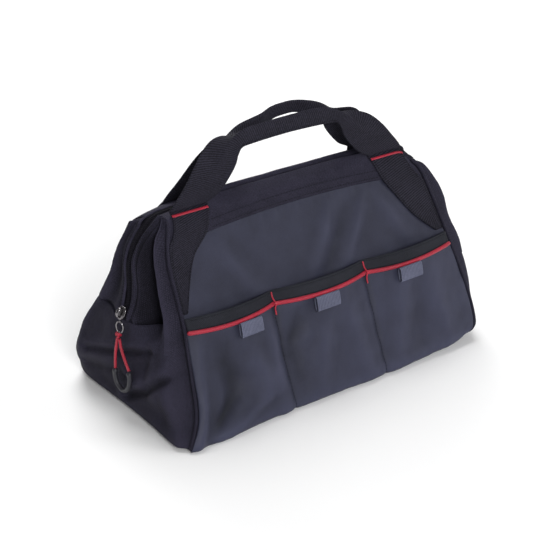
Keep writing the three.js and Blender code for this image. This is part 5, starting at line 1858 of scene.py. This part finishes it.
class MakeStitches(bpy.types.Operator):
    """Rows of stitches along the seams"""

    bl_idname = "tool_bag.make_stitches"
    bl_label = "Stitches"

    def execute(self, context):
        shape = context.scene.tool_bag_shape
        self.pitch = shape.stitch_pitch / MM
        self.thread = shape.thread_radius / MM
        rows = self.pocket_rows()
        for side in FACE_NAMES:
            rows += self.handle_rows(side)
            rows += self.band_rows(side)
            rows += [row for end in END_NAMES for row in self.zip_rows(side, end)]
        finish_piece(join_pieces("seam_stitches", rows), "dark_thread")
        return {"FINISHED"}

    def row(self, name, path, normal):
        """One row of stitches on a path that looks the given way."""
        normals = np.broadcast_to(np.asarray(normal, float), path.shape)
        return thread_row("stitches_" + name, path, normals, self.pitch, self.thread)

    def pocket_rows(self):
        """Rows up the pocket's divisions and along both edges of its binding."""
        rows = []
        normal = outward(FRONT, STITCH_LIFT)
        z = np.linspace(DIVISION_STITCHES["from"], DIVISION_STITCHES["to"], DIVISION_STITCHES["steps"])
        for k, place in enumerate(DIVISIONS):
            rows.append(self.row(f"division_{k}", on_pocket(np.full_like(z, place), z, STITCH_OUT), normal))
        x = np.linspace(-BINDING_STITCHES["half"], BINDING_STITCHES["half"], BINDING_STITCHES["steps"])
        low = piping_height(x) + BINDING_GAP
        for k, share in enumerate(BINDING_STITCHES["shares"]):
            z = low + share * (binding_height(x) - low)
            path = on_pocket(x, z, BINDING_STITCHES["out"], relief=False)
            rows.append(self.row(f"binding_{k}", path, normal))
        return rows

    def handle_rows(self, side):
        """Rows along both edges of each sewn leg, and along the open edge of the folded grip."""
        rows = []
        for end in END_NAMES:
            half = handle_half(side, end, np.array(LEG_STITCHES["edges"]))
            half = half + np.array([0, side * STITCH_OUT, 0])
            for k in (0, 1):
                path = half[: LEG_STITCHES["leg_rows"], k]
                rows.append(self.row(f"leg_{side}_{end}_{k}", path, outward(side, STITCH_LIFT)))
            grip = half[LEG_STITCHES["grip_from"] :, 0]
            rows.append(self.row(f"grip_{side}_{end}", grip, outward(side, 0)))
        return rows

    def band_rows(self, side):
        """Rows along the lower edge of a ridge band."""
        across = np.linspace(-BAND_STITCHES["reach"], BAND_STITCHES["reach"], BAND_STITCHES["steps"])
        rows = []
        for k, up in enumerate(BAND_STITCHES["up"]):
            z = band_foot(across) + up
            x = across * (body(z, "width") - BAND_SHORT)
            path = on_wall(side, x, z, band_lift(side, x, z) + BAND_STITCHES["out"])
            rows.append(self.row(f"band_{side}_{k}", path, outward(side, STITCH_LIFT)))
        return rows

    def zip_rows(self, side, end):
        """Rows beside the zip on an end's upper half."""
        short = ZIP_STITCHES["short"]
        z = np.linspace(SHELF + short, ridge_top(side, 1.0) - short, ZIP_STITCHES["steps"])
        rows = []
        for k, off in enumerate(ZIP_STITCHES["off"]):
            path = on_end(end, np.full_like(z, side * (ZIP_LIP + off)), z, STITCH_OUT, upper=True)
            rows.append(self.row(f"zip_{side}_{end}_{k}", path, (end, 0, ZIP_STITCHES["lift"])))
        return rows


class ToolBagPanel(bpy.types.Panel):
    """Lists the bag's pieces and settings"""

    bl_idname = "VIEW3D_PT_tool_bag"
    bl_label = "Tool bag"
    bl_space_type = "VIEW_3D"
    bl_region_type = "UI"
    bl_category = "Tool bag"

    def draw(self, context):
        for operator in OPERATORS:
            self.layout.operator(operator.bl_idname)
        for settings in SETTINGS:
            group = getattr(context.scene, settings)
            box = self.layout.box()
            for name in group.__annotations__:
                box.prop(group, name)


SETTINGS = {"tool_bag_shape": BagShape, "tool_bag_finish": BagFinish, "tool_bag_view": BagView}
OPERATORS = (
    MakeStage, MakePull, MakeWalls, MakeEnds, MakePockets, MakeLoops, MakeBands, MakeHandles, MakeZip,
    MakeStitches,
)
CLASSES = (*SETTINGS.values(), *OPERATORS, ToolBagPanel)


def register():
    for each in CLASSES:
        bpy.utils.register_class(each)
    for name, settings in SETTINGS.items():
        setattr(bpy.types.Scene, name, PointerProperty(type=settings))


def unregister():
    for name in SETTINGS:
        delattr(bpy.types.Scene, name)
    for each in reversed(CLASSES):
        bpy.utils.unregister_class(each)


def main():
    register()
    for operator in OPERATORS:
        group, name = operator.bl_idname.split(".")
        getattr(getattr(bpy.ops, group), name)()


if __name__ == "__main__":
    main()
